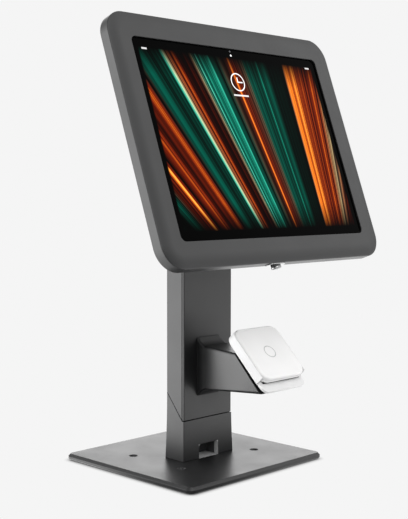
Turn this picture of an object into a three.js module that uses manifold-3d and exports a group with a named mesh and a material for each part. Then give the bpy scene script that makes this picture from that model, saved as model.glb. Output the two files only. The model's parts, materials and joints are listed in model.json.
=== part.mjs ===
// Counter-top tablet kiosk: steel base, split column, tilting and turning lockable tablet head,
// and a card reader in a dock on a flared arm.
// Millimetres. +Z is up, the front faces -Y and the origin is the centre of the base's underside.

import * as THREE from 'three';
import { mergeVertices } from 'three/addons/utils/BufferGeometryUtils.js';
import Module from 'manifold-3d';

const wasm = await Module();
wasm.setup();

// ---------------------------------------------------------------- driving dimensions

const GAP = 0.3;                 // free play between neighbouring pieces

const BASE = { width: 206, depth: 198, plate: 6, mat: 1.3, corner: 8, bevel: 1.8, foot: 0.8, matInset: 4 };
const FIXING = { x: 57, y: 37.5, radius: 2.9, sinkRadius: 4.9, sinkDepth: 2.4, matRadius: 6 };
const BASE_TOP = BASE.mat + BASE.plate;

const COLUMN = { width: 74, front: -20.9, back: 5.4, wall: 2, cover: 3, top: 363, corner: 0.8 };
const COLUMN_MID = (COLUMN.front + COLUMN.back) / 2;
const FOOT = { flare: 1.35, wall: 5, seamFront: 51.3, seamBack: 80.4, seamStart: -18.5 };
const NOTCH = { halfWidth: 14.8, top: 22.6, corner: 3 };
const SPIGOT = {
  halfWidth: 30, front: -15.3, back: 0, top: 118, passage: 15.5, passageDepth: 9.5, armSlot: 9,
  pocketHalf: 5, pocketBottom: 36,
};
const SPIGOT_SCREW = {
  x: 23, shank: 2.5, bore: 2.7, head: 4.9, headBore: 5.2, headHeight: 2.6, sink: 3.2, tip: 22,
};
const COLUMN_SCREW = { z: 96, shank: 1.5, bore: 1.7, head: 2.8, headHeight: 1.6, tip: -1.5 };

const HEAD = {
  tilt: 20, y: -88.3, z: 348.4, width: 329.2, height: 259.2, corner: 24, depth: 13.5, wall: 2, face: 1.9,
  domeWidth: 12, domeDepth: 2, windowWidth: 278, windowHeight: 207, windowCorner: 6,
};
const TRAY = { inset: 2.4, back: 2, wallTop: -3.6, wall: 2, cableHole: 12 };
const TABLET = { width: 280.6, height: 214.9, corner: 18, front: -2, glass: 0.6, back: -8.4, wall: 1.5 };
const BATTERY = { x: [-95, 70], y: [-78, 78], z: [-7.3, -4.2] };
const LOGIC_BOARD = { x: [76, 112], y: [-88, 88], z: [-7.2, -5.4] };
const BUTTON = { length: 11, thick: 2.2, proud: 0.5, seat: 0.75, pocket: 1.2, w: -5.6 };
const VESA = { pitch: 100, plate: 118, corner: 8, thick: 3, hole: 2.2, screwTip: -16.5 };
const HUB = { outer: 15, inner: 10.5, end: -27, nutOuter: 19.5, nutThick: 3.4 };
const WASHER = { thick: 0.9, outer: 30 };
const YOKE = { plate: 4, size: 64, corner: 8, armInner: 20.4, armOuter: 24.4, eye: 10 };
const PIVOT_W = -39.4;           // tilt axis, behind the head's front face
const NECK = {
  halfWidth: 19, web: 6, webHalf: 9.5, plate: 4, barrel: 10, top: 359, bottom: 302, cableZ: 325,
  cableHole: 8, cableSlot: 9, screwInset: 6, blockHalf: 30, blockBack: -9,
};
const FACE_SCREW = { bore: 2.3, shank: 2, head: 3.6, headHeight: 2.2, neckTip: -10.5, armTip: -25.5 };
const TILT_BOLT = { radius: 4, bore: 4.2, head: 7, headEnd: -29.7, end: 31, nutEnd: 30, washer: 9 };
const RETAINER = { reach: 22, rim: 6, top: -4.6 };
const PAD = { halfWidth: 110, halfHeight: 90, windowHalfWidth: 70, windowHalfHeight: 62, cableHalf: 5 };

const COVER_HINGE = {
  v: 127, w: -16, radius: 2.4, pin: 1.1, bore: 1.25, at: 110, earAt: 7, earHalf: 3, lugHalf: 3.4,
  pinHalf: 11,
};
const LOCK = {
  u: -10.5, w: -7.5, barrel: 5.2, body: 3.1, hole: 3.3, plug: 2.1, bore: 2.25, face: 3.6,
  faceBore: 3.75, proud: 5.4, faceDeep: 1.9, spindle: 1.6, camBoss: 3, camReach: 6.5, camHalf: 2.5,
  camAt: 14.3, camThick: 1.4,
};

const READER = {
  y: -109, z: 133.6, slope: 45, halfWidth: 32.2, top: 30.2, bottom: -33, corner: 10, thick: 8.6, wall: 1.5,
  split: -4, slotTop: -7.4, slotHalf: 28,
};
const DOCK = {
  halfWidth: 34, top: 31.6, corner: 11, draft: 0.6, floorTop: -9.2, floorBottom: -12.1, wallTop: -1,
  wallEnd: -30,
  lip: -42.5, lipHalf: 32.5, lipCorner: 7, holeUp: -8, cableHole: 4.5, screwX: 22, screwBore: 2.2,
  screwSink: 3.9,
};
const ARM = {
  half: 17.8, bottom: 77.5, top: 138.5, reach: 8, rise: 6.8, wall: 2.5, rootPlate: 3, middle: 107.8,
  rootCorner: 2.5, frontHalf: 33, frontCorner: 3, cableHole: 7, screwOffset: 21,
  frontLow: { up: -39.7, out: -18 }, frontHigh: { up: 12, out: -15 },
  seatHalf: 29, seatLow: -36, seatHigh: 8, seatCorner: 4, seatRoot: -18.3, holeOut: -16, screwTip: -18.5,
};

const radians = (degrees) => (degrees * Math.PI) / 180;
const HEAD_TURN = radians(90 - HEAD.tilt);
const READER_TURN = radians(READER.slope);

// ---------------------------------------------------------------- materials

const paint = new THREE.MeshStandardMaterial({ color: 0x3c3d40, roughness: 0.45, metalness: 0.35 });
const steel = new THREE.MeshStandardMaterial({ color: 0xa9abad, roughness: 0.35, metalness: 0.9 });
const chrome = new THREE.MeshStandardMaterial({ color: 0xdadcde, roughness: 0.12, metalness: 1 });
const blackPlastic = new THREE.MeshStandardMaterial({ color: 0x1b1c1e, roughness: 0.6, metalness: 0 });
const whitePlastic = new THREE.MeshStandardMaterial({ color: 0xf2f2f2, roughness: 0.35, metalness: 0 });
const rubber = new THREE.MeshStandardMaterial({ color: 0x151515, roughness: 0.9, metalness: 0 });
const aluminium = new THREE.MeshStandardMaterial({ color: 0x8c8e91, roughness: 0.4, metalness: 0.8 });
const glass = new THREE.MeshStandardMaterial({ color: 0x08090b, roughness: 0.08, metalness: 0 });
const board = new THREE.MeshStandardMaterial({ color: 0x1f5a36, roughness: 0.5, metalness: 0.1 });
const cell = new THREE.MeshStandardMaterial({ color: 0x2b2d31, roughness: 0.4, metalness: 0.3 });

// ---------------------------------------------------------------- solid helpers

/** A manifold solid from a closed geometry, moved by an optional matrix. */
function solid(geometry, matrix = null) {
  const bare = geometry.clone();
  bare.deleteAttribute('normal');
  bare.deleteAttribute('uv');
  if (matrix) bare.applyMatrix4(matrix);
  const merged = mergeVertices(bare, 1e-5);
  const triVerts = new Uint32Array(merged.index.array);
  const vertProperties = new Float32Array(merged.attributes.position.array);
  return new wasm.Manifold(new wasm.Mesh({ numProp: 3, vertProperties, triVerts }));
}

function geometryOf(body) {
  const mesh = body.getMesh();
  const geometry = new THREE.BufferGeometry();
  geometry.setAttribute('position', new THREE.BufferAttribute(new Float32Array(mesh.vertProperties), 3));
  geometry.setIndex(new THREE.BufferAttribute(new Uint32Array(mesh.triVerts), 1));
  geometry.computeVertexNormals();
  return geometry;
}

const join = (...bodies) => bodies.reduce((sum, body) => sum.add(body));
const cut = (body, ...tools) => tools.reduce((rest, tool) => rest.subtract(tool), body);

/** Axis-aligned block between two corners, given in either order. */
function block(x0, x1, y0, y1, z0, z1) {
  const geometry = new THREE.BoxGeometry(Math.abs(x1 - x0), Math.abs(y1 - y0), Math.abs(z1 - z0));
  return solid(geometry.translate((x0 + x1) / 2, (y0 + y1) / 2, (z0 + z1) / 2));
}

/** Points of a rounded rectangle, anticlockwise, with `steps` chords per corner. */
function roundedOutline(halfX, halfY, radius, steps = 5, centreY = 0) {
  const points = [];
  const corners = [[1, 1, 0], [-1, 1, 90], [-1, -1, 180], [1, -1, 270]];
  for (const [sx, sy, start] of corners) {
    for (let i = 0; i <= steps; i += 1) {
      const angle = radians(start + (90 * i) / steps);
      const x = sx * (halfX - radius) + radius * Math.cos(angle);
      const y = centreY + sy * (halfY - radius) + radius * Math.sin(angle);
      points.push(new THREE.Vector2(x, y));
    }
  }
  return points;
}

/** Straight prism of an outline in X-Y, from z0 up to z1. */
function prism(points, z0, z1) {
  const shape = new THREE.Shape(points);
  const geometry = new THREE.ExtrudeGeometry(shape, { depth: z1 - z0, bevelEnabled: false });
  return solid(geometry.translate(0, 0, z0));
}

/** Rounded rectangular prism, centred in X and, unless told otherwise, in Y. */
function plate(halfX, halfY, radius, z0, z1, steps = 5, centreY = 0) {
  return prism(roundedOutline(halfX, halfY, radius, steps, centreY), z0, z1);
}

const AXIS_TURN = {
  x: new THREE.Euler(0, 0, -Math.PI / 2),
  y: new THREE.Euler(),
  z: new THREE.Euler(Math.PI / 2, 0, 0),
};

/** Round rod along an axis between two places on it, through (a, b) in the other two axes. */
function rod(axis, radius, from, to, a = 0, b = 0, sides = 16) {
  const middle = (from + to) / 2;
  const centre = { x: [middle, a, b], y: [a, middle, b], z: [a, b, middle] }[axis];
  const matrix = new THREE.Matrix4().makeRotationFromEuler(AXIS_TURN[axis]).setPosition(...centre);
  return solid(new THREE.CylinderGeometry(radius, radius, Math.abs(to - from), sides), matrix);
}

/** Ring along an axis. */
function ring(axis, outer, inner, from, to, a = 0, b = 0, sides = 20) {
  return cut(rod(axis, outer, from, to, a, b, sides), rod(axis, inner, from - 50, to + 50, a, b, sides));
}

/** Closed skin through rings of equal point counts, capped flat at both ends. */
function loft(rings) {
  const count = rings[0].length;
  const positions = rings.flat().flatMap((p) => [p.x, p.y, p.z]);
  const index = [];
  for (let r = 0; r < rings.length - 1; r += 1) {
    for (let i = 0; i < count; i += 1) {
      const a = r * count + i;
      const b = r * count + ((i + 1) % count);
      index.push(a, b, b + count, a, b + count, a + count);
    }
  }
  const last = (rings.length - 1) * count;
  for (let i = 1; i < count - 1; i += 1) {
    index.push(0, i + 1, i, last, last + i, last + i + 1);
  }
  const geometry = new THREE.BufferGeometry();
  geometry.setAttribute('position', new THREE.Float32BufferAttribute(positions, 3));
  geometry.setIndex(index);
  return solid(geometry);
}

/** Rounded rectangle ring at height z, inset from its full half sizes. */
function levelRing(halfX, halfY, radius, z, inset = 0, steps = 5, centreY = 0) {
  const outline = roundedOutline(halfX - inset, halfY - inset, Math.max(radius - inset, 0.4), steps, centreY);
  return outline.map((p) => new THREE.Vector3(p.x, p.y, z));
}

/** Round cable along a smooth curve. */
function cable(points, radius) {
  const curve = new THREE.CatmullRomCurve3(points.map((p) => new THREE.Vector3(...p)), false, 'centripetal');
  const circle = new THREE.Shape();
  circle.absarc(0, 0, radius, 0, 2 * Math.PI, false);
  const steps = 3 * (points.length - 1);
  const options = { steps, curveSegments: 3, extrudePath: curve, bevelEnabled: false };
  return solid(new THREE.ExtrudeGeometry(circle, options));
}

/** Pan-head screw along an axis: head from `seat` outward, shank to `tip`, with a hexagon socket. */
function screw(axis, seat, tip, shank, head, headHeight, a = 0, b = 0) {
  const outward = Math.sign(seat - tip);
  const rim = seat + outward * headHeight;
  const socketFloor = seat + outward * headHeight * 0.5;
  const shankBody = rod(axis, shank, tip, socketFloor, a, b, 8);
  const headBody = rod(axis, head, seat, rim, a, b, 12);
  const socket = rod(axis, head * 0.45, socketFloor, rim + outward, a, b, 6);
  return cut(join(shankBody, headBody), socket);
}

// ---------------------------------------------------------------- scene graph

const kiosk = new THREE.Group();
kiosk.name = 'kiosk';

const head = new THREE.Group();
head.position.set(0, HEAD.y, HEAD.z);
head.rotation.x = HEAD_TURN;
kiosk.add(head);

const reader = new THREE.Group();
reader.position.set(0, READER.y, READER.z);
reader.rotation.x = READER_TURN;
kiosk.add(reader);

function place(group, name, body, material) {
  const mesh = new THREE.Mesh(geometryOf(body), material);
  mesh.name = name;
  group.add(mesh);
}

/** Kiosk y and z of a point given by its distance up a turned group's face and out of it. */
function fromGroup(origin, turn, up, out) {
  const y = origin.y + up * Math.cos(turn) - out * Math.sin(turn);
  const z = origin.z + up * Math.sin(turn) + out * Math.cos(turn);
  return [y, z];
}

const headToKiosk = (up, out) => fromGroup(HEAD, HEAD_TURN, up, out);
const readerToKiosk = (up, out) => fromGroup(READER, READER_TURN, up, out);
const [PIVOT_Y, PIVOT_Z] = headToKiosk(0, PIVOT_W);
const SIDES = [['left', -1], ['right', 1]];
const FAR = 60;                  // past every outline, for cutters

// ---------------------------------------------------------------- base

function basePlate() {
  const halfX = BASE.width / 2;
  const halfY = BASE.depth / 2;
  const rings = [
    levelRing(halfX, halfY, BASE.corner, BASE.mat, BASE.foot),
    levelRing(halfX, halfY, BASE.corner, BASE.mat + BASE.foot),
    levelRing(halfX, halfY, BASE.corner, BASE_TOP - BASE.bevel),
    levelRing(halfX, halfY, BASE.corner, BASE_TOP, BASE.bevel),
  ];
  let body = loft(rings);
  for (const [, sx] of SIDES) {
    for (const [, sy] of SIDES) {
      const x = sx * FIXING.x;
      const y = sy * FIXING.y;
      const sink = new THREE.CylinderGeometry(FIXING.sinkRadius, FIXING.radius, FIXING.sinkDepth, 16);
      const turn = new THREE.Matrix4().makeRotationX(Math.PI / 2);
      turn.setPosition(x, y, BASE_TOP - FIXING.sinkDepth / 2);
      body = cut(body, rod('z', FIXING.radius, 0, BASE_TOP + 1, x, y), solid(sink, turn));
    }
    const screwX = sx * SPIGOT_SCREW.x;
    const shankHole = rod('z', SPIGOT_SCREW.bore, 0, 2 * BASE_TOP, screwX, COLUMN_MID);
    const headHole = rod('z', SPIGOT_SCREW.headBore, 0, BASE.mat + SPIGOT_SCREW.sink, screwX, COLUMN_MID);
    body = cut(body, shankHole, headHole);
  }
  return body;
}

function baseMat() {
  const halfX = BASE.width / 2 - BASE.matInset;
  const halfY = BASE.depth / 2 - BASE.matInset;
  let body = plate(halfX, halfY, BASE.corner - 2, 0, BASE.mat - 0.05);
  for (const [, sx] of SIDES) {
    for (const [, sy] of SIDES) {
      body = cut(body, rod('z', FIXING.matRadius, -1, 3, sx * FIXING.x, sy * FIXING.y));
    }
    body = cut(body, rod('z', SPIGOT_SCREW.headBore + GAP, -1, 3, sx * SPIGOT_SCREW.x, COLUMN_MID));
  }
  return body;
}

place(kiosk, 'base_plate', basePlate(), paint);
place(kiosk, 'base_mat', baseMat(), rubber);

// ---------------------------------------------------------------- foot collar and spigot

/** Everything above the slanted seam, lifted by `lift`. */
function aboveSeam(lift) {
  const slope = (FOOT.seamBack - FOOT.seamFront) / (COLUMN.back - FOOT.seamStart);
  const low = FOOT.seamFront + lift;
  const high = 500;
  const highest = low + slope * (FAR - FOOT.seamStart);
  const points = [[-FAR, low], [FOOT.seamStart, low], [FAR, highest], [FAR, high], [-FAR, high]];
  const shape = new THREE.Shape(points.map(([y, z]) => new THREE.Vector2(y, z)));
  const geometry = new THREE.ExtrudeGeometry(shape, { depth: 2 * FAR, bevelEnabled: false });
  const alongY = new THREE.Vector3(0, 1, 0);
  const alongZ = new THREE.Vector3(0, 0, 1);
  const alongX = new THREE.Vector3(1, 0, 0);
  const axes = new THREE.Matrix4().makeBasis(alongY, alongZ, alongX);
  return solid(geometry, axes.setPosition(-FAR, 0, 0));
}

/** The arched cable mouth through the collar's front wall. */
function cableMouth() {
  const { halfWidth, top, corner } = NOTCH;
  const arch = new THREE.Shape();
  arch.moveTo(-halfWidth, 0);
  arch.lineTo(halfWidth, 0);
  arch.lineTo(halfWidth, top - corner);
  arch.absarc(halfWidth - corner, top - corner, corner, 0, Math.PI / 2, false);
  arch.absarc(-halfWidth + corner, top - corner, corner, Math.PI / 2, Math.PI, false);
  const mouth = new THREE.ExtrudeGeometry(arch, { depth: 20, bevelEnabled: false, curveSegments: 4 });
  mouth.rotateX(Math.PI / 2).translate(0, COLUMN.front + 10, 0);
  return solid(mouth);
}

function footCollar() {
  const halfX = COLUMN.width / 2;
  const halfY = (COLUMN.back - COLUMN.front) / 2;
  const levels = 6;
  const outer = [];
  for (let i = 0; i <= levels; i += 1) {
    const rise = i / levels;
    const z = BASE_TOP + 0.05 + rise * (FOOT.seamBack - BASE_TOP);
    const flare = FOOT.flare * (1 - rise) ** 2;
    outer.push(levelRing(halfX + flare, halfY + flare, COLUMN.corner, z, 0, 3, COLUMN_MID));
  }
  const inner = plate(halfX - FOOT.wall, halfY - FOOT.wall, 1, 0, 2 * FAR, 2, COLUMN_MID);
  return cut(loft(outer), inner, cableMouth(), aboveSeam(-GAP));
}

function columnSpigot() {
  const { halfWidth, front, back, top, passage, passageDepth, armSlot, pocketHalf, pocketBottom } = SPIGOT;
  const bottom = BASE_TOP + 0.1;
  const middle = (front + back) / 2;
  const low = middle - passageDepth / 2;
  const high = middle + passageDepth / 2;
  const above = top + 1;
  const cableWay = block(-passage, passage, low, high, 0, above);
  const frontWay = block(-passage, passage, front - 1, middle, 0, NOTCH.top + 2);
  const armWay = block(-armSlot, armSlot, front - 1, middle, ARM.middle - armSlot, above);
  let body = cut(block(-halfWidth, halfWidth, front, back, bottom, top), cableWay, frontWay, armWay);
  for (const [, side] of SIDES) {
    const x = side * SPIGOT_SCREW.x;
    const tapped = rod('z', SPIGOT_SCREW.bore, 0, SPIGOT_SCREW.tip + 2, x, COLUMN_MID);
    const pocket = block(x - pocketHalf, x + pocketHalf, low, high, pocketBottom, above);
    const armTap = rod('y', 4.6, front - 1, front + 3.6, 0, ARM.middle + side * ARM.screwOffset);
    body = cut(body, tapped, pocket, armTap);
  }
  return cut(body, rod('y', COLUMN_SCREW.bore, middle, back + 1, 0, COLUMN_SCREW.z));
}

place(kiosk, 'column_foot', footCollar(), paint);
place(kiosk, 'column_spigot', columnSpigot(), aluminium);
for (const [side, sign] of SIDES) {
  const { x, shank, head: radius, headHeight, sink, tip } = SPIGOT_SCREW;
  const seat = BASE.mat + sink - 0.1;
  const spigotScrew = screw('z', seat, tip, shank, radius, headHeight, sign * x, COLUMN_MID);
  place(kiosk, `spigot_screw_${side}`, spigotScrew, steel);
}

function columnScrew() {
  const { z, shank, head: radius, headHeight, tip } = COLUMN_SCREW;
  return screw('y', COLUMN.back + 0.1, tip, shank, radius, headHeight, 0, z);
}

place(kiosk, 'column_screw', columnScrew(), steel);

// ---------------------------------------------------------------- column

/** The column's full outline as one solid, above the seam. */
function columnBar() {
  const halfX = COLUMN.width / 2;
  const halfY = (COLUMN.back - COLUMN.front) / 2;
  const bar = plate(halfX, halfY, COLUMN.corner, FOOT.seamFront, COLUMN.top, 4, COLUMN_MID);
  return bar.intersect(aboveSeam(GAP));
}

function columnChannel() {
  const innerX = COLUMN.width / 2 - COLUMN.wall;
  const frontEdge = COLUMN.front + COLUMN.cover + GAP;
  const inner = block(-innerX, innerX, -FAR, COLUMN.back - COLUMN.wall, 0, 500);
  const open = block(-FAR, FAR, -FAR, frontEdge, 0, 500);
  return cut(columnBar(), inner, open, rod('y', COLUMN_SCREW.bore, 0, 10, 0, COLUMN_SCREW.z));
}

function columnFrontCover() {
  const back = COLUMN.front + COLUMN.cover;
  const ribOuter = COLUMN.width / 2 - COLUMN.wall - 0.6;
  const ribInner = ribOuter - 1.5;
  let body = columnBar().intersect(block(-FAR, FAR, -FAR, back, 0, 500));
  for (const [, side] of SIDES) {
    body = join(body, block(side * ribInner, side * ribOuter, back - 0.5, back + 5, 125, 290));
    body = cut(body, rod('y', FACE_SCREW.bore, -FAR, 0, 0, ARM.middle + side * ARM.screwOffset));
  }
  for (const z of NECK_SCREW_HEIGHTS) {
    body = cut(body, rod('y', FACE_SCREW.bore, -FAR, 0, 0, z));
  }
  const armWay = rod('y', ARM.cableHole, -FAR, 0, 0, ARM.middle);
  return cut(body, armWay, rod('y', NECK.cableHole, -FAR, 0, 0, NECK.cableZ));
}

function columnCap() {
  const halfX = COLUMN.width / 2;
  const halfY = (COLUMN.back - COLUMN.front) / 2;
  const levels = [[0.1, 0], [2, 0], [3, 1]];
  const ringAt = ([z, inset]) => levelRing(halfX, halfY, COLUMN.corner, COLUMN.top + z, inset, 4, COLUMN_MID);
  const rings = levels.map(ringAt);
  const plugX = halfX - COLUMN.wall - 0.8;
  const plug = block(-plugX, plugX, -8.5, COLUMN.back - COLUMN.wall - 0.5, COLUMN.top - 4, COLUMN.top + 1);
  const hollow = block(-plugX + 3.8, plugX - 3.8, -6, 1, COLUMN.top - 5, COLUMN.top + 0.5);
  return cut(join(loft(rings), plug), hollow);
}

const NECK_SCREW_HEIGHTS = [NECK.top - NECK.screwInset, NECK.bottom + NECK.screwInset];

function neckBlock() {
  const front = COLUMN.front + COLUMN.cover + GAP;
  const body = block(-NECK.blockHalf, NECK.blockHalf, front, NECK.blockBack, NECK.bottom - 4, NECK.top + 1);
  const { cableSlot, cableZ } = NECK;
  const slot = block(-cableSlot, cableSlot, -FAR, 0, cableZ - cableSlot, cableZ + cableSlot);
  const taps = NECK_SCREW_HEIGHTS.map((z) => rod('y', FACE_SCREW.bore, -FAR, 0, 0, z));
  return cut(body, slot, ...taps);
}

/** Fixed half of the tilt joint: a plate on the column with two webs and the tilt barrel. */
function neckBracket() {
  const { halfWidth, web, webHalf, plate: thick, barrel, top, bottom } = NECK;
  const face = COLUMN.front - GAP;
  let body = block(-halfWidth, halfWidth, face - thick, face, bottom, top);
  body = join(body, rod('x', barrel, -halfWidth, halfWidth, PIVOT_Y, PIVOT_Z, 24));
  for (const [, side] of SIDES) {
    const outer = side * halfWidth;
    const inner = side * (halfWidth - web);
    body = join(body, block(inner, outer, PIVOT_Y, face - 1, PIVOT_Z - webHalf, PIVOT_Z + webHalf));
  }
  const bore = rod('x', TILT_BOLT.bore, -FAR, FAR, PIVOT_Y, PIVOT_Z, 24);
  const holes = NECK_SCREW_HEIGHTS.map((z) => rod('y', FACE_SCREW.bore, -FAR, 0, 0, z));
  return cut(body, bore, rod('y', NECK.cableHole, -40, 0, 0, NECK.cableZ - 4), ...holes);
}

place(kiosk, 'column_channel', columnChannel(), paint);
place(kiosk, 'column_front_cover', columnFrontCover(), paint);
place(kiosk, 'column_cap', columnCap(), blackPlastic);
place(kiosk, 'neck_block', neckBlock(), aluminium);
place(kiosk, 'neck_bracket', neckBracket(), paint);
const neckSeat = COLUMN.front - GAP - NECK.plate - 0.1;

/** One of the screws that go through the column's front cover. */
function faceScrew(seat, tip, z) {
  return screw('y', seat, tip, FACE_SCREW.shank, FACE_SCREW.head, FACE_SCREW.headHeight, 0, z);
}

place(kiosk, 'neck_screw_upper', faceScrew(neckSeat, FACE_SCREW.neckTip, NECK_SCREW_HEIGHTS[0]), steel);
place(kiosk, 'neck_screw_lower', faceScrew(neckSeat, FACE_SCREW.neckTip, NECK_SCREW_HEIGHTS[1]), steel);

const columnRun = [
  [0, -27, 323], [0, -18, 324], [0, -10, 324], [0, -4.5, 319], [0, -3.5, 308], [1, -5, 280], [3, -6.5, 200],
  [4, -7.4, 120], [3, -7.6, 48],
];
place(kiosk, 'column_cable', cable(columnRun, 1.7), rubber);

// ---------------------------------------------------------------- reader arm

/** Ring of the arm across its length; `inset` gives the inside of its wall. */
function armRing(halfX, lowZ, highZ, radius, depthOf, inset) {
  const halfZ = (highZ - lowZ) / 2;
  const outline = roundedOutline(halfX - inset, halfZ - inset, Math.max(radius - inset, 0.6), 4);
  return outline.map((p) => {
    const z = (highZ + lowZ) / 2 + p.y;
    return new THREE.Vector3(p.x, depthOf(z), z);
  });
}

/** The arm's flared root, straight cheeks and sloping front; `inset` makes the hollow inside it. */
function armSkin(inset) {
  const face = COLUMN.front - GAP;
  const start = face - 0.8;
  const hollowStart = face - ARM.rootPlate;
  const fillet = 6;
  const rings = [];
  if (inset === 0) rings.push(armRing(ARM.half, ARM.bottom, ARM.top, ARM.rootCorner, () => face, 0));
  for (let i = 0; i <= fillet; i += 1) {
    const angle = radians((90 * i) / fillet);
    const depth = start - ARM.reach * (1 - Math.cos(angle));
    const shrink = ARM.rise * Math.sin(angle);
    if (inset > 0 && depth > hollowStart) continue;
    const low = ARM.bottom + shrink;
    const high = ARM.top - shrink;
    rings.push(armRing(ARM.half - 0.4, low, high, ARM.rootCorner, () => depth, inset));
  }
  const [lowY, lowZ] = readerToKiosk(ARM.frontLow.up, ARM.frontLow.out - inset);
  const [highY, highZ] = readerToKiosk(ARM.frontHigh.up, ARM.frontHigh.out - inset);
  const depthOf = (z) => lowY + ((z - lowZ) * (highY - lowY)) / (highZ - lowZ);
  rings.push(armRing(ARM.frontHalf, lowZ, highZ, ARM.frontCorner, depthOf, inset));
  return loft(rings);
}

function readerArm() {
  const toArm = new THREE.Matrix4().makeRotationX(READER_TURN).setPosition(0, READER.y, READER.z);
  const through = (x, radius) => {
    const hole = new THREE.CylinderGeometry(radius, radius, 20, 16);
    const local = new THREE.Matrix4().makeRotationX(Math.PI / 2).setPosition(x, DOCK.holeUp, ARM.holeOut);
    return solid(hole, toArm.clone().multiply(local));
  };
  const { seatHalf, seatLow, seatHigh, seatCorner, seatRoot } = ARM;
  const seatUp = (seatHigh - seatLow) / 2;
  const seatMiddle = (seatHigh + seatLow) / 2;
  const seatShape = new THREE.Shape(roundedOutline(seatHalf, seatUp, seatCorner, 4, seatMiddle));
  const seatDepth = DOCK.floorBottom - GAP - seatRoot;
  const seat = new THREE.ExtrudeGeometry(seatShape, { depth: seatDepth, bevelEnabled: false });
  const body = join(armSkin(0), solid(seat.translate(0, 0, seatRoot), toArm));
  const rootHoles = SIDES.map(([, side]) => rod('y', 2.2, -30, 0, 0, ARM.middle + side * ARM.screwOffset));
  const frontHoles = [through(0, 5), through(-DOCK.screwX, 2), through(DOCK.screwX, 2)];
  const rootWay = rod('y', ARM.cableHole, -30, 0, 0, ARM.middle);
  return cut(body, armSkin(ARM.wall), rootWay, ...rootHoles, ...frontHoles);
}

place(kiosk, 'reader_arm', readerArm(), paint);
const armSeat = COLUMN.front + COLUMN.cover + 0.1;
for (const [level, sign] of [['upper', 1], ['lower', -1]]) {
  const z = ARM.middle + sign * ARM.screwOffset;
  place(kiosk, `arm_screw_${level}`, faceScrew(armSeat, FACE_SCREW.armTip, z), steel);
}

// ---------------------------------------------------------------- card reader and dock

const READER_MID = (READER.top + READER.bottom) / 2;
const READER_HALF = (READER.top - READER.bottom) / 2;

/** Shallow tray under the card reader: low side walls, an open front and a tongue beyond it. */
function readerDock() {
  const { halfWidth, top, corner, draft, floorTop, floorBottom, wallTop, wallEnd, lip } = DOCK;
  const low = -FAR;
  const outerHalf = (top - low) / 2;
  const outerMid = (top + low) / 2;
  const levels = [[floorBottom, draft], [floorBottom + 1, 0], [wallTop, draft]];
  const cupRing = ([z, inset]) => levelRing(halfWidth, outerHalf, corner, z, inset, 6, outerMid);
  const cup = loft(levels.map(cupRing));
  const innerTop = READER.top + GAP;
  const wellHalf = (innerTop + 2 * FAR) / 2;
  const wellX = READER.halfWidth + GAP;
  const well = plate(wellX, wellHalf, READER.corner, floorTop, 5, 6, innerTop - wellHalf);
  const beyond = block(-FAR, FAR, -2 * FAR, wallEnd, floorBottom - 1, 5);
  const tongueHalf = (10 - lip) / 2;
  const tongue = plate(DOCK.lipHalf, tongueHalf, DOCK.lipCorner, floorBottom, floorTop, 5, lip + tongueHalf);
  const body = join(cut(cup, well, beyond), tongue);
  const holes = [rod('z', DOCK.cableHole, -20, 5, 0, DOCK.holeUp)];
  for (const [, side] of SIDES) {
    holes.push(rod('z', DOCK.screwBore, -20, 5, side * DOCK.screwX, DOCK.holeUp));
    holes.push(rod('z', DOCK.screwSink, floorTop - 1.7, 5, side * DOCK.screwX, DOCK.holeUp));
  }
  return cut(body, ...holes);
}

/** Loft of the card reader's outline through [height, inset] levels. */
function readerSkin(levels) {
  const { halfWidth, corner } = READER;
  return loft(levels.map(([z, inset]) => levelRing(halfWidth, READER_HALF, corner, z, inset, 6, READER_MID)));
}

/** Prism inside the card reader's wall. */
function readerPocket(z0, z1) {
  const { halfWidth, wall, corner } = READER;
  return plate(halfWidth - wall, READER_HALF - wall, corner - wall, z0, z1, 6, READER_MID);
}

function readerTopShell() {
  const body = readerSkin([[READER.split, 0], [-1.6, 0], [-0.7, 0.3], [-0.2, 0.9], [0, 1.8]]);
  return cut(body, readerPocket(-10, -1.6));
}

function readerBottomShell() {
  const { thick, slotTop, slotHalf, bottom, split } = READER;
  const body = readerSkin([[-thick, 1.4], [-thick + 0.6, 0.4], [-thick + 1.6, 0], [split - 0.2, 0]]);
  const cardSlot = block(-slotHalf, slotHalf, -FAR, bottom + 9, -thick - 1, slotTop);
  return cut(body, readerPocket(slotTop + 0.6, 0), cardSlot);
}

function readerBoard() {
  const sheet = plate(READER.halfWidth - 3.2, READER_HALF - 3.2, 7, -6.5, -5.3, 4, READER_MID);
  return cut(sheet, block(-18, 18, -FAR, READER.bottom + 20, -9, 0));
}

place(reader, 'reader_dock', readerDock(), whitePlastic);
place(reader, 'card_reader_top', readerTopShell(), whitePlastic);
place(reader, 'card_reader_bottom', readerBottomShell(), whitePlastic);
place(reader, 'card_reader_board', readerBoard(), board);
for (const [side, sign] of SIDES) {
  const seat = DOCK.floorTop - 1.65;
  const dockScrew = screw('z', seat, ARM.screwTip, 1.8, 3.4, 1.4, sign * DOCK.screwX, DOCK.holeUp);
  place(reader, `dock_screw_${side}`, dockScrew, steel);
}

const readerRun = [
  [0, ...readerToKiosk(DOCK.holeUp, DOCK.floorTop - 0.4)],
  [0, ...readerToKiosk(DOCK.holeUp, ARM.holeOut - 7)],
  [0, -70, 104], [0, -34, ARM.middle], [-1, -20, ARM.middle], [-3, -9.5, ARM.middle - 8],
  [-4, -7.6, 90], [-4, -7.4, 48],
];
place(kiosk, 'reader_cable', cable(readerRun, 1.5), rubber);

// ---------------------------------------------------------------- head: cover, lock and hinge

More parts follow.
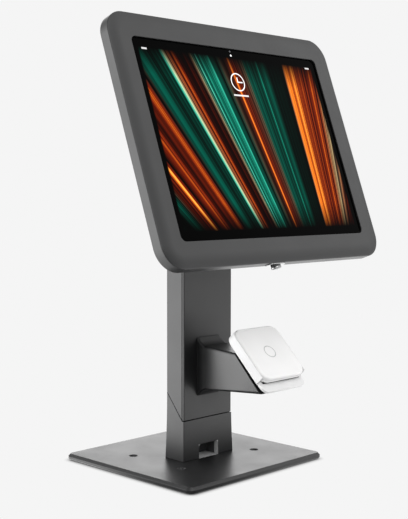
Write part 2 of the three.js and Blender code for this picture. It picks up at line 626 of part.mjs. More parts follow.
const coverTop = HEAD.height / 2;
const coverBottom = -HEAD.height / 2;
const trayBack = -HEAD.depth;
const trayFloor = trayBack + TRAY.back;
const hingeRod = (radius, from, to) => rod('x', radius, from, to, COVER_HINGE.v, COVER_HINGE.w);
const lockLine = (radius, from, to) => rod('y', radius, coverBottom + from, coverBottom + to, LOCK.u, LOCK.w);

/** One-piece front cover: crowned bezel, side walls, display window, lock hole and hinge ears. */
function coverShell() {
  const halfX = HEAD.width / 2;
  const { wall, corner, domeWidth, domeDepth, face } = HEAD;
  const steps = 6;
  const rings = [levelRing(halfX, coverTop, corner, trayBack, 0, steps)];
  const domeSteps = 4;
  for (let i = 0; i <= domeSteps; i += 1) {
    const angle = radians((90 * i) / domeSteps);
    const inset = domeWidth * (1 - Math.cos(angle));
    const drop = domeDepth * (1 - Math.sin(angle));
    rings.push(levelRing(halfX, coverTop, corner, -drop, inset, steps));
  }
  const cavity = plate(halfX - wall, coverTop - wall, corner - wall, -40, -face, steps);
  const pane = plate(HEAD.windowWidth / 2, HEAD.windowHeight / 2, HEAD.windowCorner, -40, 5, 5);
  let body = cut(loft(rings), cavity, pane, lockLine(LOCK.hole, -5, 5));
  const { at, earAt, earHalf, radius, v, w, bore } = COVER_HINGE;
  for (const [, side] of SIDES) {
    for (const [, ear] of SIDES) {
      const x0 = side * at + ear * earAt - earHalf;
      const x1 = x0 + 2 * earHalf;
      const tab = block(x0, x1, coverTop - wall + 0.05, v + radius, w, trayBack + 2);
      body = join(body, hingeRod(radius, x0, x1), tab);
    }
    body = cut(body, hingeRod(bore, side * at - 12, side * at + 12));
  }
  return body;
}

function lockBarrel() {
  const collar = lockLine(LOCK.barrel, -LOCK.proud, -1.3);
  const bodyRod = lockLine(LOCK.body, -1.5, 13.8);
  const seat = lockLine(LOCK.faceBore, -10, -LOCK.faceDeep);
  return cut(join(collar, bodyRod), lockLine(LOCK.bore, -10, 20), seat);
}

/** Flat obround across the lock, for the escutcheon and the retaining clip. */
function lockObround(halfLong, halfShort, from, to, hole) {
  const outline = roundedOutline(halfLong, halfShort, halfShort - 0.01, 6);
  const matrix = new THREE.Matrix4().makeRotationX(Math.PI / 2);
  matrix.setPosition(LOCK.u, coverBottom + to, LOCK.w);
  const options = { depth: to - from, bevelEnabled: false };
  const geometry = new THREE.ExtrudeGeometry(new THREE.Shape(outline), options);
  return cut(solid(geometry, matrix), lockLine(hole, from - 1, to + 1));
}

function lockPlug() {
  const plug = lockLine(LOCK.plug, -3, LOCK.camAt - 0.4);
  const face = lockLine(LOCK.face, -LOCK.proud - 0.2, -LOCK.faceDeep - 0.2);
  const spindle = lockLine(LOCK.spindle, LOCK.camAt - 1.3, LOCK.camAt + 2.9);
  const keyHalf = 0.45;
  const keyDeep = [coverBottom - 9, coverBottom + 3];
  const keyway = block(LOCK.u - keyHalf, LOCK.u + keyHalf, ...keyDeep, LOCK.w - 1.7, LOCK.w + 1.7);
  return cut(join(plug, face, spindle), keyway);
}

/** Cam on the plug's spindle; it points backwards while the head is unlocked. */
function lockCam() {
  const { u, w, camHalf, camReach, camBoss, camAt, camThick, spindle } = LOCK;
  const to = camAt + camThick;
  const tongue = block(u - camHalf, u + camHalf, coverBottom + camAt, coverBottom + to, w - camReach, w);
  const body = join(tongue.intersect(lockLine(camReach, camAt - 1, to + 1)), lockLine(camBoss, camAt, to));
  return cut(body, lockLine(spindle + 0.15, camAt - 1, to + 1));
}

/** Hook on the tray floor that the turned cam catches. */
function lockKeeper() {
  const low = coverBottom + LOCK.camAt - GAP;
  const high = low + 4;
  const hookTop = -2.9;
  const floor = trayFloor + GAP;
  const postIn = LOCK.u + 7.3;
  const postOut = postIn + 2;
  const post = block(postIn, postOut, low, high, floor, hookTop);
  const hook = block(postIn - 3.4, postOut, low, high, hookTop - 1.4, hookTop);
  const toe = block(postIn, postIn + 7.7, low, high, floor, floor + 1.3);
  return join(post, hook, toe);
}

const clipFrom = HEAD.wall + 0.2;
place(head, 'front_cover', coverShell(), paint);
place(head, 'lock_escutcheon', lockObround(12.5, 5.3, -1.2, -0.2, LOCK.hole), chrome);
place(head, 'lock_barrel', lockBarrel(), chrome);
place(head, 'lock_clip', lockObround(9.5, 3.8, clipFrom, clipFrom + 1.2, LOCK.body + 0.1), steel);
place(head, 'lock_plug', lockPlug(), chrome);
place(head, 'lock_cam', lockCam(), steel);
place(head, 'lock_keeper', lockKeeper(), steel);

for (const [side, sign] of SIDES) {
  const { at, pin, pinHalf } = COVER_HINGE;
  place(head, `cover_hinge_pin_${side}`, hingeRod(pin, sign * at - pinHalf, sign * at + pinHalf), steel);
}

// ---------------------------------------------------------------- head: rear tray and tablet

const halfTabletX = TABLET.width / 2;
const halfTabletY = TABLET.height / 2;

/** The four mounting holes shared by the tray and the plate behind it. */
function vesaHoles() {
  const reach = VESA.pitch / 2;
  const hole = (sx, sy) => rod('z', VESA.hole, -30, 0, sx * reach, sy * reach, 12);
  return SIDES.flatMap(([, sx]) => SIDES.map(([, sy]) => hole(sx, sy)));
}

function rearTray() {
  const halfX = HEAD.width / 2 - TRAY.inset;
  const halfY = coverTop - TRAY.inset;
  const corner = HEAD.corner - TRAY.inset;
  const { wall, wallTop, cableHole } = TRAY;
  const pan = plate(halfX, halfY, corner, trayBack, wallTop, 6);
  const well = plate(halfX - wall, halfY - wall, corner - wall, trayFloor, 5, 6);
  let body = cut(pan, well, rod('z', cableHole, -30, 0), ...vesaHoles());
  const { at, v, w, radius, lugHalf, pin } = COVER_HINGE;
  for (const [, side] of SIDES) {
    const x0 = side * at - lugHalf;
    const x1 = side * at + lugHalf;
    const strap = block(x0, x1, v - 8, v, w - radius + 0.1, trayBack + 0.5);
    body = cut(join(body, hingeRod(radius, x0, x1), strap), hingeRod(pin + 0.1, x0 - 2, x1 + 2));
  }
  const lockGap = block(LOCK.u - 13.5, LOCK.u + 13.5, -halfY - 1, -halfY + wall + 0.5, trayFloor, 5);
  const camLow = coverBottom + LOCK.camAt - 0.5;
  const camSlot = block(LOCK.u - 3.2, LOCK.u + 7, camLow, camLow + 2.6, -30, 0);
  return cut(body, lockGap, camSlot);
}

/** L-shaped block round one corner of the tablet; sx and sy pick the corner. */
function cornerRetainer(sx, sy) {
  const innerX = halfTabletX + 0.5;
  const innerY = halfTabletY + 0.5;
  const { reach, rim, top } = RETAINER;
  const xs = [sx * (innerX - reach), sx * (innerX + rim)];
  const ys = [sy * (innerY - reach), sy * (innerY + rim)];
  const tablet = plate(innerX, innerY, TABLET.corner + 0.5, -30, 5, 6);
  return cut(block(...xs, ...ys, trayFloor + GAP, top), tablet);
}

const BUTTON_PLACES = {
  tablet_power_button: { u: -halfTabletX, v: 78, edge: 'left' },
  tablet_volume_up: { u: -104, v: halfTabletY, edge: 'top' },
  tablet_volume_down: { u: -88, v: halfTabletY, edge: 'top' },
};

/** A button's block on one edge of the tablet, from `from` to `to` outward of the edge. */
function buttonBlock(u, v, edge, from, to, grow = 0) {
  const half = BUTTON.length / 2 + grow;
  const thick = BUTTON.thick / 2 + grow;
  const w0 = BUTTON.w - thick;
  const w1 = BUTTON.w + thick;
  if (edge === 'top') return block(u - half, u + half, v + from, v + to, w0, w1);
  return block(u - to, u - from, v - half, v + half, w0, w1);
}

function tabletShell() {
  const { corner, wall, front, glass: pane, back } = TABLET;
  const rim = front - pane - GAP;
  const body = plate(halfTabletX, halfTabletY, corner, back, rim, 5);
  const well = plate(halfTabletX - wall, halfTabletY - wall, corner - wall, back + 0.8, 5, 5);
  const port = block(halfTabletX - 3, halfTabletX + 3, -4.6, 4.6, BUTTON.w - 1.4, BUTTON.w + 1.4);
  const places = Object.values(BUTTON_PLACES);
  const pockets = places.map(({ u, v, edge }) => buttonBlock(u, v, edge, -BUTTON.pocket, 2, 0.15));
  return cut(body, well, port, ...pockets);
}

/** Mounting plate screwed to the tray, with the hollow hub that the head turns on. */
function vesaPlate() {
  const front = trayBack - GAP;
  const half = VESA.plate / 2;
  const sheet = plate(half, half, VESA.corner, front - VESA.thick, front, 4);
  const body = join(sheet, rod('z', HUB.outer, HUB.end, front - 1, 0, 0, 24));
  return cut(body, rod('z', HUB.inner, -60, 0, 0, 0, 24), ...vesaHoles());
}

const washerFront = trayBack - 2 * GAP - VESA.thick;
const washerBack = washerFront - WASHER.thick;
const yokeFront = washerBack - GAP;
const yokeBack = yokeFront - YOKE.plate;
const hubClearance = HUB.outer + GAP;

/** Moving half of the tilt joint: a plate round the hub with two ears on the tilt bolt. */
function tiltYoke() {
  const half = YOKE.size / 2;
  let body = plate(half, half, YOKE.corner, yokeBack, yokeFront, 4);
  for (const [, side] of SIDES) {
    const inner = side * YOKE.armInner;
    const outer = side * YOKE.armOuter;
    const arm = block(inner, outer, -YOKE.eye, YOKE.eye, PIVOT_W, yokeFront - 1);
    body = join(body, arm, rod('x', YOKE.eye, inner, outer, 0, PIVOT_W, 24));
  }
  const hubHole = rod('z', hubClearance, -60, 0, 0, 0, 24);
  return cut(body, hubHole, rod('x', TILT_BOLT.bore, -FAR, FAR, 0, PIVOT_W, 24));
}

const hubNutFront = yokeBack - GAP;
const turnWasher = ring('z', WASHER.outer, hubClearance, washerBack, washerFront, 0, 0, 24);
const hubNut = ring('z', HUB.nutOuter, hubClearance, hubNutFront - HUB.nutThick, hubNutFront, 0, 0, 24);
place(head, 'rear_tray', rearTray(), paint);
place(head, 'vesa_plate', vesaPlate(), steel);
place(head, 'turn_washer', turnWasher, blackPlastic);
place(head, 'tilt_yoke', tiltYoke(), paint);
place(head, 'hub_nut', hubNut, steel);

const corners = [
  ['upper_left', -1, 1], ['upper_right', 1, 1], ['lower_left', -1, -1], ['lower_right', 1, -1],
];
for (const [name, sx, sy] of corners) {
  const reach = VESA.pitch / 2;
  const vesaScrew = screw('z', trayFloor + 0.1, VESA.screwTip, 1.9, 3.6, 1.9, sx * reach, sy * reach);
  place(head, `corner_retainer_${name}`, cornerRetainer(sx, sy), blackPlastic);
  place(head, `vesa_screw_${name}`, vesaScrew, steel);
}

/** Foam sheet under the tablet, open over the mounting screws and along the cable. */
function tabletPad() {
  const sheet = plate(PAD.halfWidth, PAD.halfHeight, 6, trayFloor + GAP, TABLET.back - GAP, 4);
  const { windowHalfWidth, windowHalfHeight } = PAD;
  const window = block(-windowHalfWidth, windowHalfWidth, -windowHalfHeight, windowHalfHeight, -20, 0);
  const cableWay = block(0, PAD.halfWidth + 10, -PAD.cableHalf, PAD.cableHalf, -20, 0);
  return cut(sheet, window, cableWay);
}

/** Charging cable from the tablet's edge round under it and out through the hub. */
function tabletCable() {
  const plug = block(halfTabletX + GAP, halfTabletX + 11, -5.4, 5.4, BUTTON.w - 2.3, BUTTON.w + 2.3);
  const tongue = block(halfTabletX - 1.2, halfTabletX + 1, -4.2, 4.2, BUTTON.w - 1.1, BUTTON.w + 1.1);
  const w = (trayFloor + TABLET.back) / 2;
  const run = [
    [halfTabletX + 8, 0, BUTTON.w], [halfTabletX + 13.5, 0, BUTTON.w],
    [halfTabletX + 16.5, 0, -7.8], [halfTabletX + 13, 0, w], [halfTabletX + 5, 0, w - 0.1],
    [40, 0, w - 0.1], [16, 0, w - 0.1], [7, 0, -10.8], [1.5, 0, -14.5], [0, 0, -20], [0, 0, -28],
  ];
  return join(plug, tongue, cable(run, 1.15));
}

const glassBack = TABLET.front - TABLET.glass;
const display = plate(halfTabletX, halfTabletY, TABLET.corner, glassBack, TABLET.front, 5);
place(head, 'tablet_pad', tabletPad(), rubber);
place(head, 'tablet_shell', tabletShell(), aluminium);
place(head, 'tablet_display', display, glass);
place(head, 'tablet_battery', block(...BATTERY.x, ...BATTERY.y, ...BATTERY.z), cell);
place(head, 'tablet_logic_board', block(...LOGIC_BOARD.x, ...LOGIC_BOARD.y, ...LOGIC_BOARD.z), board);
for (const [name, { u, v, edge }] of Object.entries(BUTTON_PLACES)) {
  place(head, name, buttonBlock(u, v, edge, -BUTTON.seat, BUTTON.proud), aluminium);
}
place(head, 'tablet_cable', tabletCable(), rubber);

// ---------------------------------------------------------------- tilt hardware

const pivotRod = (radius, from, to, sides = 24) => rod('x', radius, from, to, 0, PIVOT_W, sides);
const boltHead = pivotRod(TILT_BOLT.head, TILT_BOLT.headEnd, -YOKE.armOuter - GAP, 6);
const boltShank = pivotRod(TILT_BOLT.radius, -YOKE.armOuter - 2, TILT_BOLT.end);
const nutBlank = pivotRod(TILT_BOLT.head, YOKE.armOuter + GAP, TILT_BOLT.nutEnd, 6);
place(head, 'tilt_bolt', join(boltShank, boltHead), steel);
place(head, 'tilt_nut', cut(nutBlank, pivotRod(TILT_BOLT.bore, 0, FAR)), steel);
for (const [side, sign] of SIDES) {
  const inner = sign * (NECK.halfWidth + GAP);
  const outer = sign * (YOKE.armInner - GAP);
  const washer = cut(pivotRod(TILT_BOLT.washer, inner, outer), pivotRod(TILT_BOLT.bore, -FAR, FAR));
  place(head, `tilt_washer_${side}`, washer, blackPlastic);
}

export default kiosk;
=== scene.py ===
"""Looks of the counter-top tablet kiosk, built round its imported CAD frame.

The frame is in metres with +Z up and the front facing -Y. Shapes below are written in
millimetres in a piece's own axes and are scaled when their mesh is made.
"""

import json
import math

import bmesh
import bpy
from mathutils import Matrix, Vector

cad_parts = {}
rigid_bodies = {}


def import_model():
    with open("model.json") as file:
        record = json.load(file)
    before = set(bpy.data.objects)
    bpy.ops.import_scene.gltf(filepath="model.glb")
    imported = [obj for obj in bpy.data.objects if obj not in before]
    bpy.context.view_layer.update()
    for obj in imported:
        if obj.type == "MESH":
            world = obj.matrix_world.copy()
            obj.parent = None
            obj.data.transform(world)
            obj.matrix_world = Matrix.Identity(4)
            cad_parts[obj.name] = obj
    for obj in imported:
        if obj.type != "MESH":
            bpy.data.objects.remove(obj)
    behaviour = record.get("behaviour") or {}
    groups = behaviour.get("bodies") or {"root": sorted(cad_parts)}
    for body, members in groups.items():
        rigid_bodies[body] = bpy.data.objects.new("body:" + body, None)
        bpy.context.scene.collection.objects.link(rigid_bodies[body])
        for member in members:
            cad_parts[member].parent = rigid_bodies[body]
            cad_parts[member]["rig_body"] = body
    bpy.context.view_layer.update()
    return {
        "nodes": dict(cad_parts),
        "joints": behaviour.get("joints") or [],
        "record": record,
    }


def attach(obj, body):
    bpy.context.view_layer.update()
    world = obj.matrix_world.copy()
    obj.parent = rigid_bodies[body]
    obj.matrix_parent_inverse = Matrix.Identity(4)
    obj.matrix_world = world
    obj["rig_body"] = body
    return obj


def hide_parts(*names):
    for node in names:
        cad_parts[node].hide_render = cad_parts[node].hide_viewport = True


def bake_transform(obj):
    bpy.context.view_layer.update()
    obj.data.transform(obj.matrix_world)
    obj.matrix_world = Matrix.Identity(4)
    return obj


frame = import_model()

MM = 0.001
NODES = frame["nodes"]
JOINTS = {joint["name"]: joint for joint in frame["joints"]}
SLOTS = {part["node"]: part["material_slot"] for part in frame["record"]["subparts"]}
RIGHT = Vector((1, 0, 0))
SIDES = (("left", -1), ("right", 1))

# ------------------------------------------------------------------ driving dimensions, mm

BASE = {"corner": 8, "bevel": 2.7, "foot": 0.8}
FIXING = {"x": 57, "y": 37.5, "radius": 2.9, "sink": 4.9, "sink_depth": 2.4}
COLUMN_CORNER = 0.8
COLUMN_PLATE = 3                 # thickness of the column's front cover
COVER = {"draft": 0.5, "corner": 0.8, "seam": 0.2, "gap": 0.9, "rib": 1.5, "rib_inset": 2.6}
# height and radius of the screw and cable holes through the front cover
COVER_HOLES = ((86.8, 2.3), (107.8, 7), (128.8, 2.3), (308, 2.3), (325, 8), (353, 2.3))
FOOT = {"flare": 1.35, "wall": 5, "seam_front": 50.7, "seam_back": 79.8, "seam_start": -18.5}
NOTCH = {"half": 14.8, "top": 22.6, "corner": 3}
HEAD = {
    "corner": 24, "depth": 13.5, "wall": 2, "face": 1.9, "dome_width": 14, "dome_depth": 2,
    "rim": 1.1, "rim_turn": 68, "rim_rise": 0.0,
}
WINDOW = {"half_x": 139, "half_y": 103.5, "corner": 6}
HINGE = {"at": 110, "ear_at": 7, "ear_half": 3, "v": 127, "w": -16, "radius": 2.4, "bore": 1.25}
LOCK = {
    "u": -10.5, "w": -7.5, "collar": 5.2, "body": 3.1, "hole": 3.3, "plug": 2.1, "bore": 2.25,
    "face": 3.6, "face_bore": 3.75, "proud": 5.4, "seat": 1.9, "inner": 13.9, "spindle": 1.6,
}
READER = {"corner": 10, "ring": 7.4, "ring_width": 0.9, "slot_half": 28, "slot_top": -7.4}
DOCK = {"corner": 11, "lip_corner": 7, "draft": 0.6, "wall_end": -30, "floor": 2.9, "screw_x": 22}
ARM = {
    "half": 17.8, "bottom": 76.4, "top": 139.6, "reach": 10.5, "rise": 7.9, "wall": 2.5,
    "corner": 2.5, "front_half": 33, "front_corner": 3, "seat_half": 29, "seat_corner": 4,
}
EDGE = 0.35                      # usual rounding of a painted edge
FAR = 60                         # past every outline, for cutters


# ------------------------------------------------------------------ axes and boxes

def axes(origin, out):
    """Matrix whose local Z points along `out`, whose X is the kiosk's X, in metres."""
    z = Vector(out).normalized()
    y = z.cross(RIGHT).normalized()
    matrix = Matrix((RIGHT, y, z)).transposed().to_4x4()
    matrix.translation = Vector(origin)
    return matrix


def node_points(name):
    return [vertex.co.copy() for vertex in NODES[name].data.vertices]


def local_box(name, matrix=Matrix.Identity(4)):
    """Lowest and highest corner of a CAD node in local axes, in millimetres."""
    back = matrix.inverted()
    points = [back @ point for point in node_points(name)]
    low = Vector([min(p[i] for p in points) for i in range(3)]) / MM
    high = Vector([max(p[i] for p in points) for i in range(3)]) / MM
    return low, high


def widest_face(name):
    """Normal of the largest flat area of a CAD node that faces forwards and up."""
    areas = {}
    for polygon in NODES[name].data.polygons:
        normal = polygon.normal
        if normal.y < -0.3 and normal.z > 0.3:
            key = (round(normal.y, 3), round(normal.z, 3))
            areas[key] = areas.get(key, 0) + polygon.area
    y, z = max(areas, key=areas.get)
    return Vector((0, y, z))


HEAD_AXES = axes(JOINTS["head_turn"]["pos_m"], JOINTS["head_turn"]["axis"])
KIOSK_AXES = Matrix.Identity(4)
reader_out = widest_face("card_reader_top")
reader_top = max(node_points("card_reader_top"), key=lambda p: p.dot(reader_out))
READER_AXES = axes((0, reader_top.y, reader_top.z), reader_out)
reader_low, reader_high = local_box("card_reader_top", READER_AXES)
READER_AXES = READER_AXES @ Matrix.Translation((0, (reader_low.y + reader_high.y) / 2 * MM, 0))


# ------------------------------------------------------------------ mesh helpers

def outline(half_x, half_y, radius, steps=12, centre=(0, 0)):
    """Points of a rounded rectangle, anticlockwise."""
    radius = max(radius, 0.05)
    points = []
    for quarter, (sx, sy) in enumerate(((1, 1), (-1, 1), (-1, -1), (1, -1))):
        for i in range(steps + 1):
            angle = math.radians(90 * (quarter + i / steps))
            x = centre[0] + sx * (half_x - radius) + radius * math.cos(angle)
            y = centre[1] + sy * (half_y - radius) + radius * math.sin(angle)
            points.append((x, y))
    return points


def level(points, z):
    return [(x, y, z) for x, y in points]


def circle(radius, steps=64, centre=(0, 0)):
    turn = [2 * math.pi * i / steps for i in range(steps)]
    return [(centre[0] + radius * math.cos(a), centre[1] + radius * math.sin(a)) for a in turn]


def make(name, rings, matrix=KIOSK_AXES, closed=False):
    """Object from rings of equal counts; `closed` joins the last ring to the first."""
    mesh = bpy.data.meshes.new(name)
    bm = bmesh.new()
    rows = [[bm.verts.new(point) for point in ring] for ring in rings]
    count = len(rows[0])
    pairs = list(zip(rows, rows[1:] + rows[:1] if closed else rows[1:]))
    for lower, upper in pairs:
        for i in range(count):
            j = (i + 1) % count
            bm.faces.new((lower[i], lower[j], upper[j], upper[i]))
    if not closed:
        bm.faces.new(rows[0][::-1])
        bm.faces.new(rows[-1])
    bmesh.ops.recalc_face_normals(bm, faces=bm.faces)
    bm.to_mesh(mesh)
    bm.free()
    mesh.transform(matrix @ Matrix.Scale(MM, 4))
    made = bpy.data.objects.new(name, mesh)
    bpy.context.scene.collection.objects.link(made)
    return made


def prism(points, z0, z1, matrix=KIOSK_AXES, name="cutter"):
    return make(name, [level(points, z0), level(points, z1)], matrix)


def block(low, high, matrix=KIOSK_AXES):
    corners = [(low[0], low[1]), (high[0], low[1]), (high[0], high[1]), (low[0], high[1])]
    return prism(corners, low[2], high[2], matrix)


def rod(radius, z0, z1, matrix=KIOSK_AXES, centre=(0, 0), steps=48):
    return prism(circle(radius, steps, centre), z0, z1, matrix)


def cylinder_along_x(radius, x0, x1, y, z, matrix, steps=32):
    """Round bar along local X through (y, z)."""
    turned_axes = Matrix.Rotation(math.radians(90), 4, "Y")
    place = Matrix.Translation((0, y * MM, z * MM))
    return rod(radius, x0, x1, matrix @ place @ turned_axes, steps=steps)


def turned(name, profile, matrix, steps=64, closed=True):
    """Solid of revolution about local Z of (radius, z) points."""
    rings = [level(circle(radius, steps), z) for radius, z in profile]
    return make(name, rings, matrix, closed)


def ring_piece(name, outer, inner, z0, z1, matrix, chamfer=0.25, steps=96):
    profile = [
        (inner + chamfer, z0), (outer - chamfer, z0), (outer, z0 + chamfer), (outer, z1 - chamfer),
        (outer - chamfer, z1), (inner + chamfer, z1), (inner, z1 - chamfer), (inner, z0 + chamfer),
    ]
    return turned(name, profile, matrix, steps)


def combine(target, operation, others):
    """Applies exact booleans of `others` to target and removes them."""
    for other in others:
        modifier = target.modifiers.new(operation, "BOOLEAN")
        modifier.operation = operation
        modifier.solver = "EXACT"
        modifier.object = other
    graph = bpy.context.evaluated_depsgraph_get()
    mesh = bpy.data.meshes.new_from_object(target.evaluated_get(graph), depsgraph=graph)
    target.modifiers.clear()
    target.data = mesh
    for other in others:
        bpy.data.objects.remove(other)
    return target


def cut(target, *others):
    return combine(target, "DIFFERENCE", others)


def join(target, *others):
    return combine(target, "UNION", others)


def smooth_group():
    """Modifier nodes that shade every face smooth, so that a CAD mesh itself is not touched."""
    group = bpy.data.node_groups.new("shade_smooth", "GeometryNodeTree")
    group.interface.new_socket("Geometry", in_out="INPUT", socket_type="NodeSocketGeometry")
    group.interface.new_socket("Geometry", in_out="OUTPUT", socket_type="NodeSocketGeometry")
    start = group.nodes.new("NodeGroupInput")
    smooth = group.nodes.new("GeometryNodeSetShadeSmooth")
    end = group.nodes.new("NodeGroupOutput")
    group.links.new(start.outputs[0], smooth.inputs["Geometry"])
    group.links.new(smooth.outputs[0], end.inputs[0])
    return group


SMOOTH = smooth_group()


def soften(piece, width=EDGE, segments=3, angle=30, flatten=True):
    """Rounds a piece's sharp edges and shades it smooth, flat faces staying flat."""
    merge = piece.modifiers.new("merge", "WELD")
    merge.merge_threshold = 0.01 * MM
    if flatten:
        dissolve = piece.modifiers.new("flatten", "DECIMATE")
        dissolve.decimate_type = "DISSOLVE"
        dissolve.angle_limit = math.radians(0.4)
    shade = piece.modifiers.new("shade", "NODES")
    shade.node_group = SMOOTH
    if width:
        bevel = piece.modifiers.new("edge", "BEVEL")
        bevel.width = width * MM
        bevel.segments = segments
        bevel.limit_method = "ANGLE"
        bevel.angle_limit = math.radians(angle)
        bevel.miter_outer = "MITER_ARC"
        bevel.use_clamp_overlap = False
    weigh = piece.modifiers.new("normals", "WEIGHTED_NORMAL")
    weigh.mode = "FACE_AREA"
    weigh.weight = 60
    return piece


# ------------------------------------------------------------------ node helpers

class Tree:
    """Short ways to write the nodes of a material or of the world."""

    def __init__(self, owner):
        owner.use_nodes = True
        self.tree = owner.node_tree
        self.tree.nodes.clear()

    def add(self, kind, inputs=None, **settings):
        node = self.tree.nodes.new("ShaderNode" + kind)
        for key, value in settings.items():
            setattr(node, key, value)
        for key, value in (inputs or {}).items():
            self.feed(node.inputs[key], value)
        return node

    def feed(self, socket, value):
        if isinstance(value, bpy.types.NodeSocket):
            self.tree.links.new(value, socket)
        else:
            socket.default_value = value

    def math(self, operation, a, b=0.0, clamp=False):
        node = self.add("Math", {0: a, 1: b}, operation=operation, use_clamp=clamp)
        return node.outputs[0]

    def dot(self, vector, direction):
        node = self.add("VectorMath", {0: vector, 1: direction}, operation="DOT_PRODUCT")
        return node.outputs["Value"]

    def place(self):
        return self.add("TexCoord").outputs["Object"]

    def noise(self, scale, detail=2.0, vector=None, roughness=0.5):
        inputs = {"Scale": scale, "Detail": detail, "Roughness": roughness}
        inputs["Vector"] = vector or self.place()
        return self.add("TexNoise", inputs).outputs["Fac"]

    def stretched(self, scales):
        node = self.add("VectorMath", {0: self.place(), 1: scales}, operation="MULTIPLY")
        return node.outputs["Vector"]

    def spread(self, value, low, high, out_low=0.0, out_high=1.0):
        inputs = {"Value": value, "From Min": low, "From Max": high, "To Min": out_low, "To Max": out_high}
        return self.add("MapRange", inputs, clamp=True).outputs["Result"]

    def band(self, value, low, high, soft):
        """1 between low and high, falling to 0 over `soft` outside."""
        rise = self.spread(value, low - soft, low)
        fall = self.spread(value, high, high + soft, 1.0, 0.0)
        return self.math("MULTIPLY", rise, fall)

    def mix(self, fac, a, b, blend="MIX"):
        node = self.add("Mix", data_type="RGBA", blend_type=blend)
        for key, value in ((0, fac), (6, a), (7, b)):
            self.feed(node.inputs[key], value)
        return node.outputs[2]

    def ramp(self, fac, stops, interpolation="LINEAR"):
        node = self.add("ValToRGB", {"Fac": fac})
        node.color_ramp.interpolation = interpolation
        elements = node.color_ramp.elements
        while len(elements) < len(stops):
            elements.new(0.5)
        for element, (position, colour) in zip(elements, stops):
            element.position = position
            element.color = colour
        return node.outputs["Color"]

    def bump(self, height, depth, strength=1.0, normal=None):
        inputs = {"Height": height, "Distance": depth * MM, "Strength": strength}
        if normal:
            inputs["Normal"] = normal
        return self.add("Bump", inputs).outputs["Normal"]

    def edges(self, radius):
        """About 1 along sharp edges within `radius` millimetres, 0 elsewhere."""
        rounded = self.add("Bevel", {"Radius": radius * MM}, samples=4).outputs["Normal"]
        true = self.add("NewGeometry").outputs["Normal"]
        near = self.dot(rounded, true)
        return self.spread(near, 0.98, 0.75)

    def surface(self, **inputs):
        shader = self.add("BsdfPrincipled", inputs)
        self.output(shader.outputs[0])

    def output(self, shader, kind="OutputMaterial"):
        end = self.add(kind)
        self.tree.links.new(shader, end.inputs["Surface"])


def grey(value, warm=0.0):
    return (value * (1 + warm), value, value * (1 - warm), 1.0)


def new_material(name):
    material = bpy.data.materials.new(name)
    return material, Tree(material)


# ------------------------------------------------------------------ materials

def painted_steel(name="painted_steel", pale_region=None):
    """Satin powder coat: fine orange peel, faint clouding and slightly rubbed edges.

    Its second argument is the lowest and highest corner, in mm, of a region coloured light grey.
    """
    material, t = new_material(name)
    peel = t.noise(900, 3.0)
    speck = t.noise(3600, 1.0)
    cloud = t.noise(22, 4.0, roughness=0.6)
    tone = t.mix(t.spread(cloud, 0.3, 0.7), (0.0078, 0.0081, 0.0086, 1), (0.0100, 0.0103, 0.0108, 1))
    tone = t.mix(t.spread(speck, 0.62, 0.80, 0.0, 0.25), tone, (0.026, 0.0265, 0.0275, 1))
    rubbed = t.math("MULTIPLY", t.edges(0.5), t.spread(t.noise(160, 3.0), 0.35, 0.7))
    tone = t.mix(t.math("MULTIPLY", rubbed, 0.35), tone, (0.045, 0.046, 0.048, 1))
    rough = t.spread(t.math("ADD", cloud, t.math("MULTIPLY", speck, 0.4)), 0.4, 1.0, 0.36, 0.46)
    normal = t.bump(peel, 0.014, 0.25)
    # painted shade: ambient occlusion dims the coat's reflection in recesses and under parts
    open_to_light = t.add("AmbientOcclusion", {"Distance": 0.035}, samples=6).outputs["AO"]
    recess_shaded_sheen = t.spread(open_to_light, 0.3, 0.98, 0.28, 0.68)
    if pale_region:
        position = t.add("SeparateXYZ", {0: t.place()}).outputs
        inside = 1.0
        for axis, low, high in zip(position, *pale_region):
            inside = t.math("MULTIPLY", inside, t.band(axis, low * MM, high * MM, 0.00005))
        # the region inside the cable mouth is coloured a light grey
        pale_tone = t.mix(t.spread(peel, 0.35, 0.65), grey(0.36), grey(0.46))
        tone = t.mix(inside, tone, pale_tone)
    surface = {"Base Color": tone, "Roughness": rough, "Normal": normal, "Specular IOR Level": recess_shaded_sheen}
    t.surface(**surface)
    return material


def plated_steel():
    """Zinc-plated hardware with a mottled passivated skin and fine scratches."""
    material, t = new_material("steel")
    mottle = t.noise(260, 4.0)
    scratch = t.noise(1.0, 3.0, t.stretched((400, 5200, 5200)))
    tone = t.ramp(mottle, ((0.3, grey(0.36)), (0.55, (0.50, 0.50, 0.47, 1)), (0.8, (0.56, 0.57, 0.60, 1))))
    rough = t.spread(t.math("ADD", mottle, scratch), 0.6, 1.4, 0.24, 0.48)
    normal = t.bump(scratch, 0.01, 0.4)
    t.surface(**{"Base Color": tone, "Metallic": 1.0, "Roughness": rough, "Normal": normal})
    return material


def chrome():
    """Polished plating with faint turning marks."""
    material, t = new_material("chrome")
    marks = t.noise(1.0, 3.0, t.stretched((900, 6000, 6000)))
    haze = t.noise(300, 3.0)
    rough = t.spread(haze, 0.35, 0.75, 0.06, 0.2)
    normal = t.bump(marks, 0.004, 0.35)
    tone = t.mix(haze, grey(0.24), grey(0.38))
    t.surface(**{"Base Color": tone, "Metallic": 1.0, "Roughness": rough, "Normal": normal})
    return material


def moulded(name, dark, light, rough, grain, depth):
    """Spark-textured moulded plastic."""
    material, t = new_material(name)
    fine = t.noise(grain, 3.0)
    cloud = t.noise(35, 3.0)
    tone = t.mix(t.spread(cloud, 0.3, 0.7), dark, light)
    roughness = t.spread(t.math("ADD", fine, cloud), 0.7, 1.3, rough - 0.05, rough + 0.07)
    t.surface(**{"Base Color": tone, "Roughness": roughness, "Normal": t.bump(fine, depth, 0.5)})
    return material


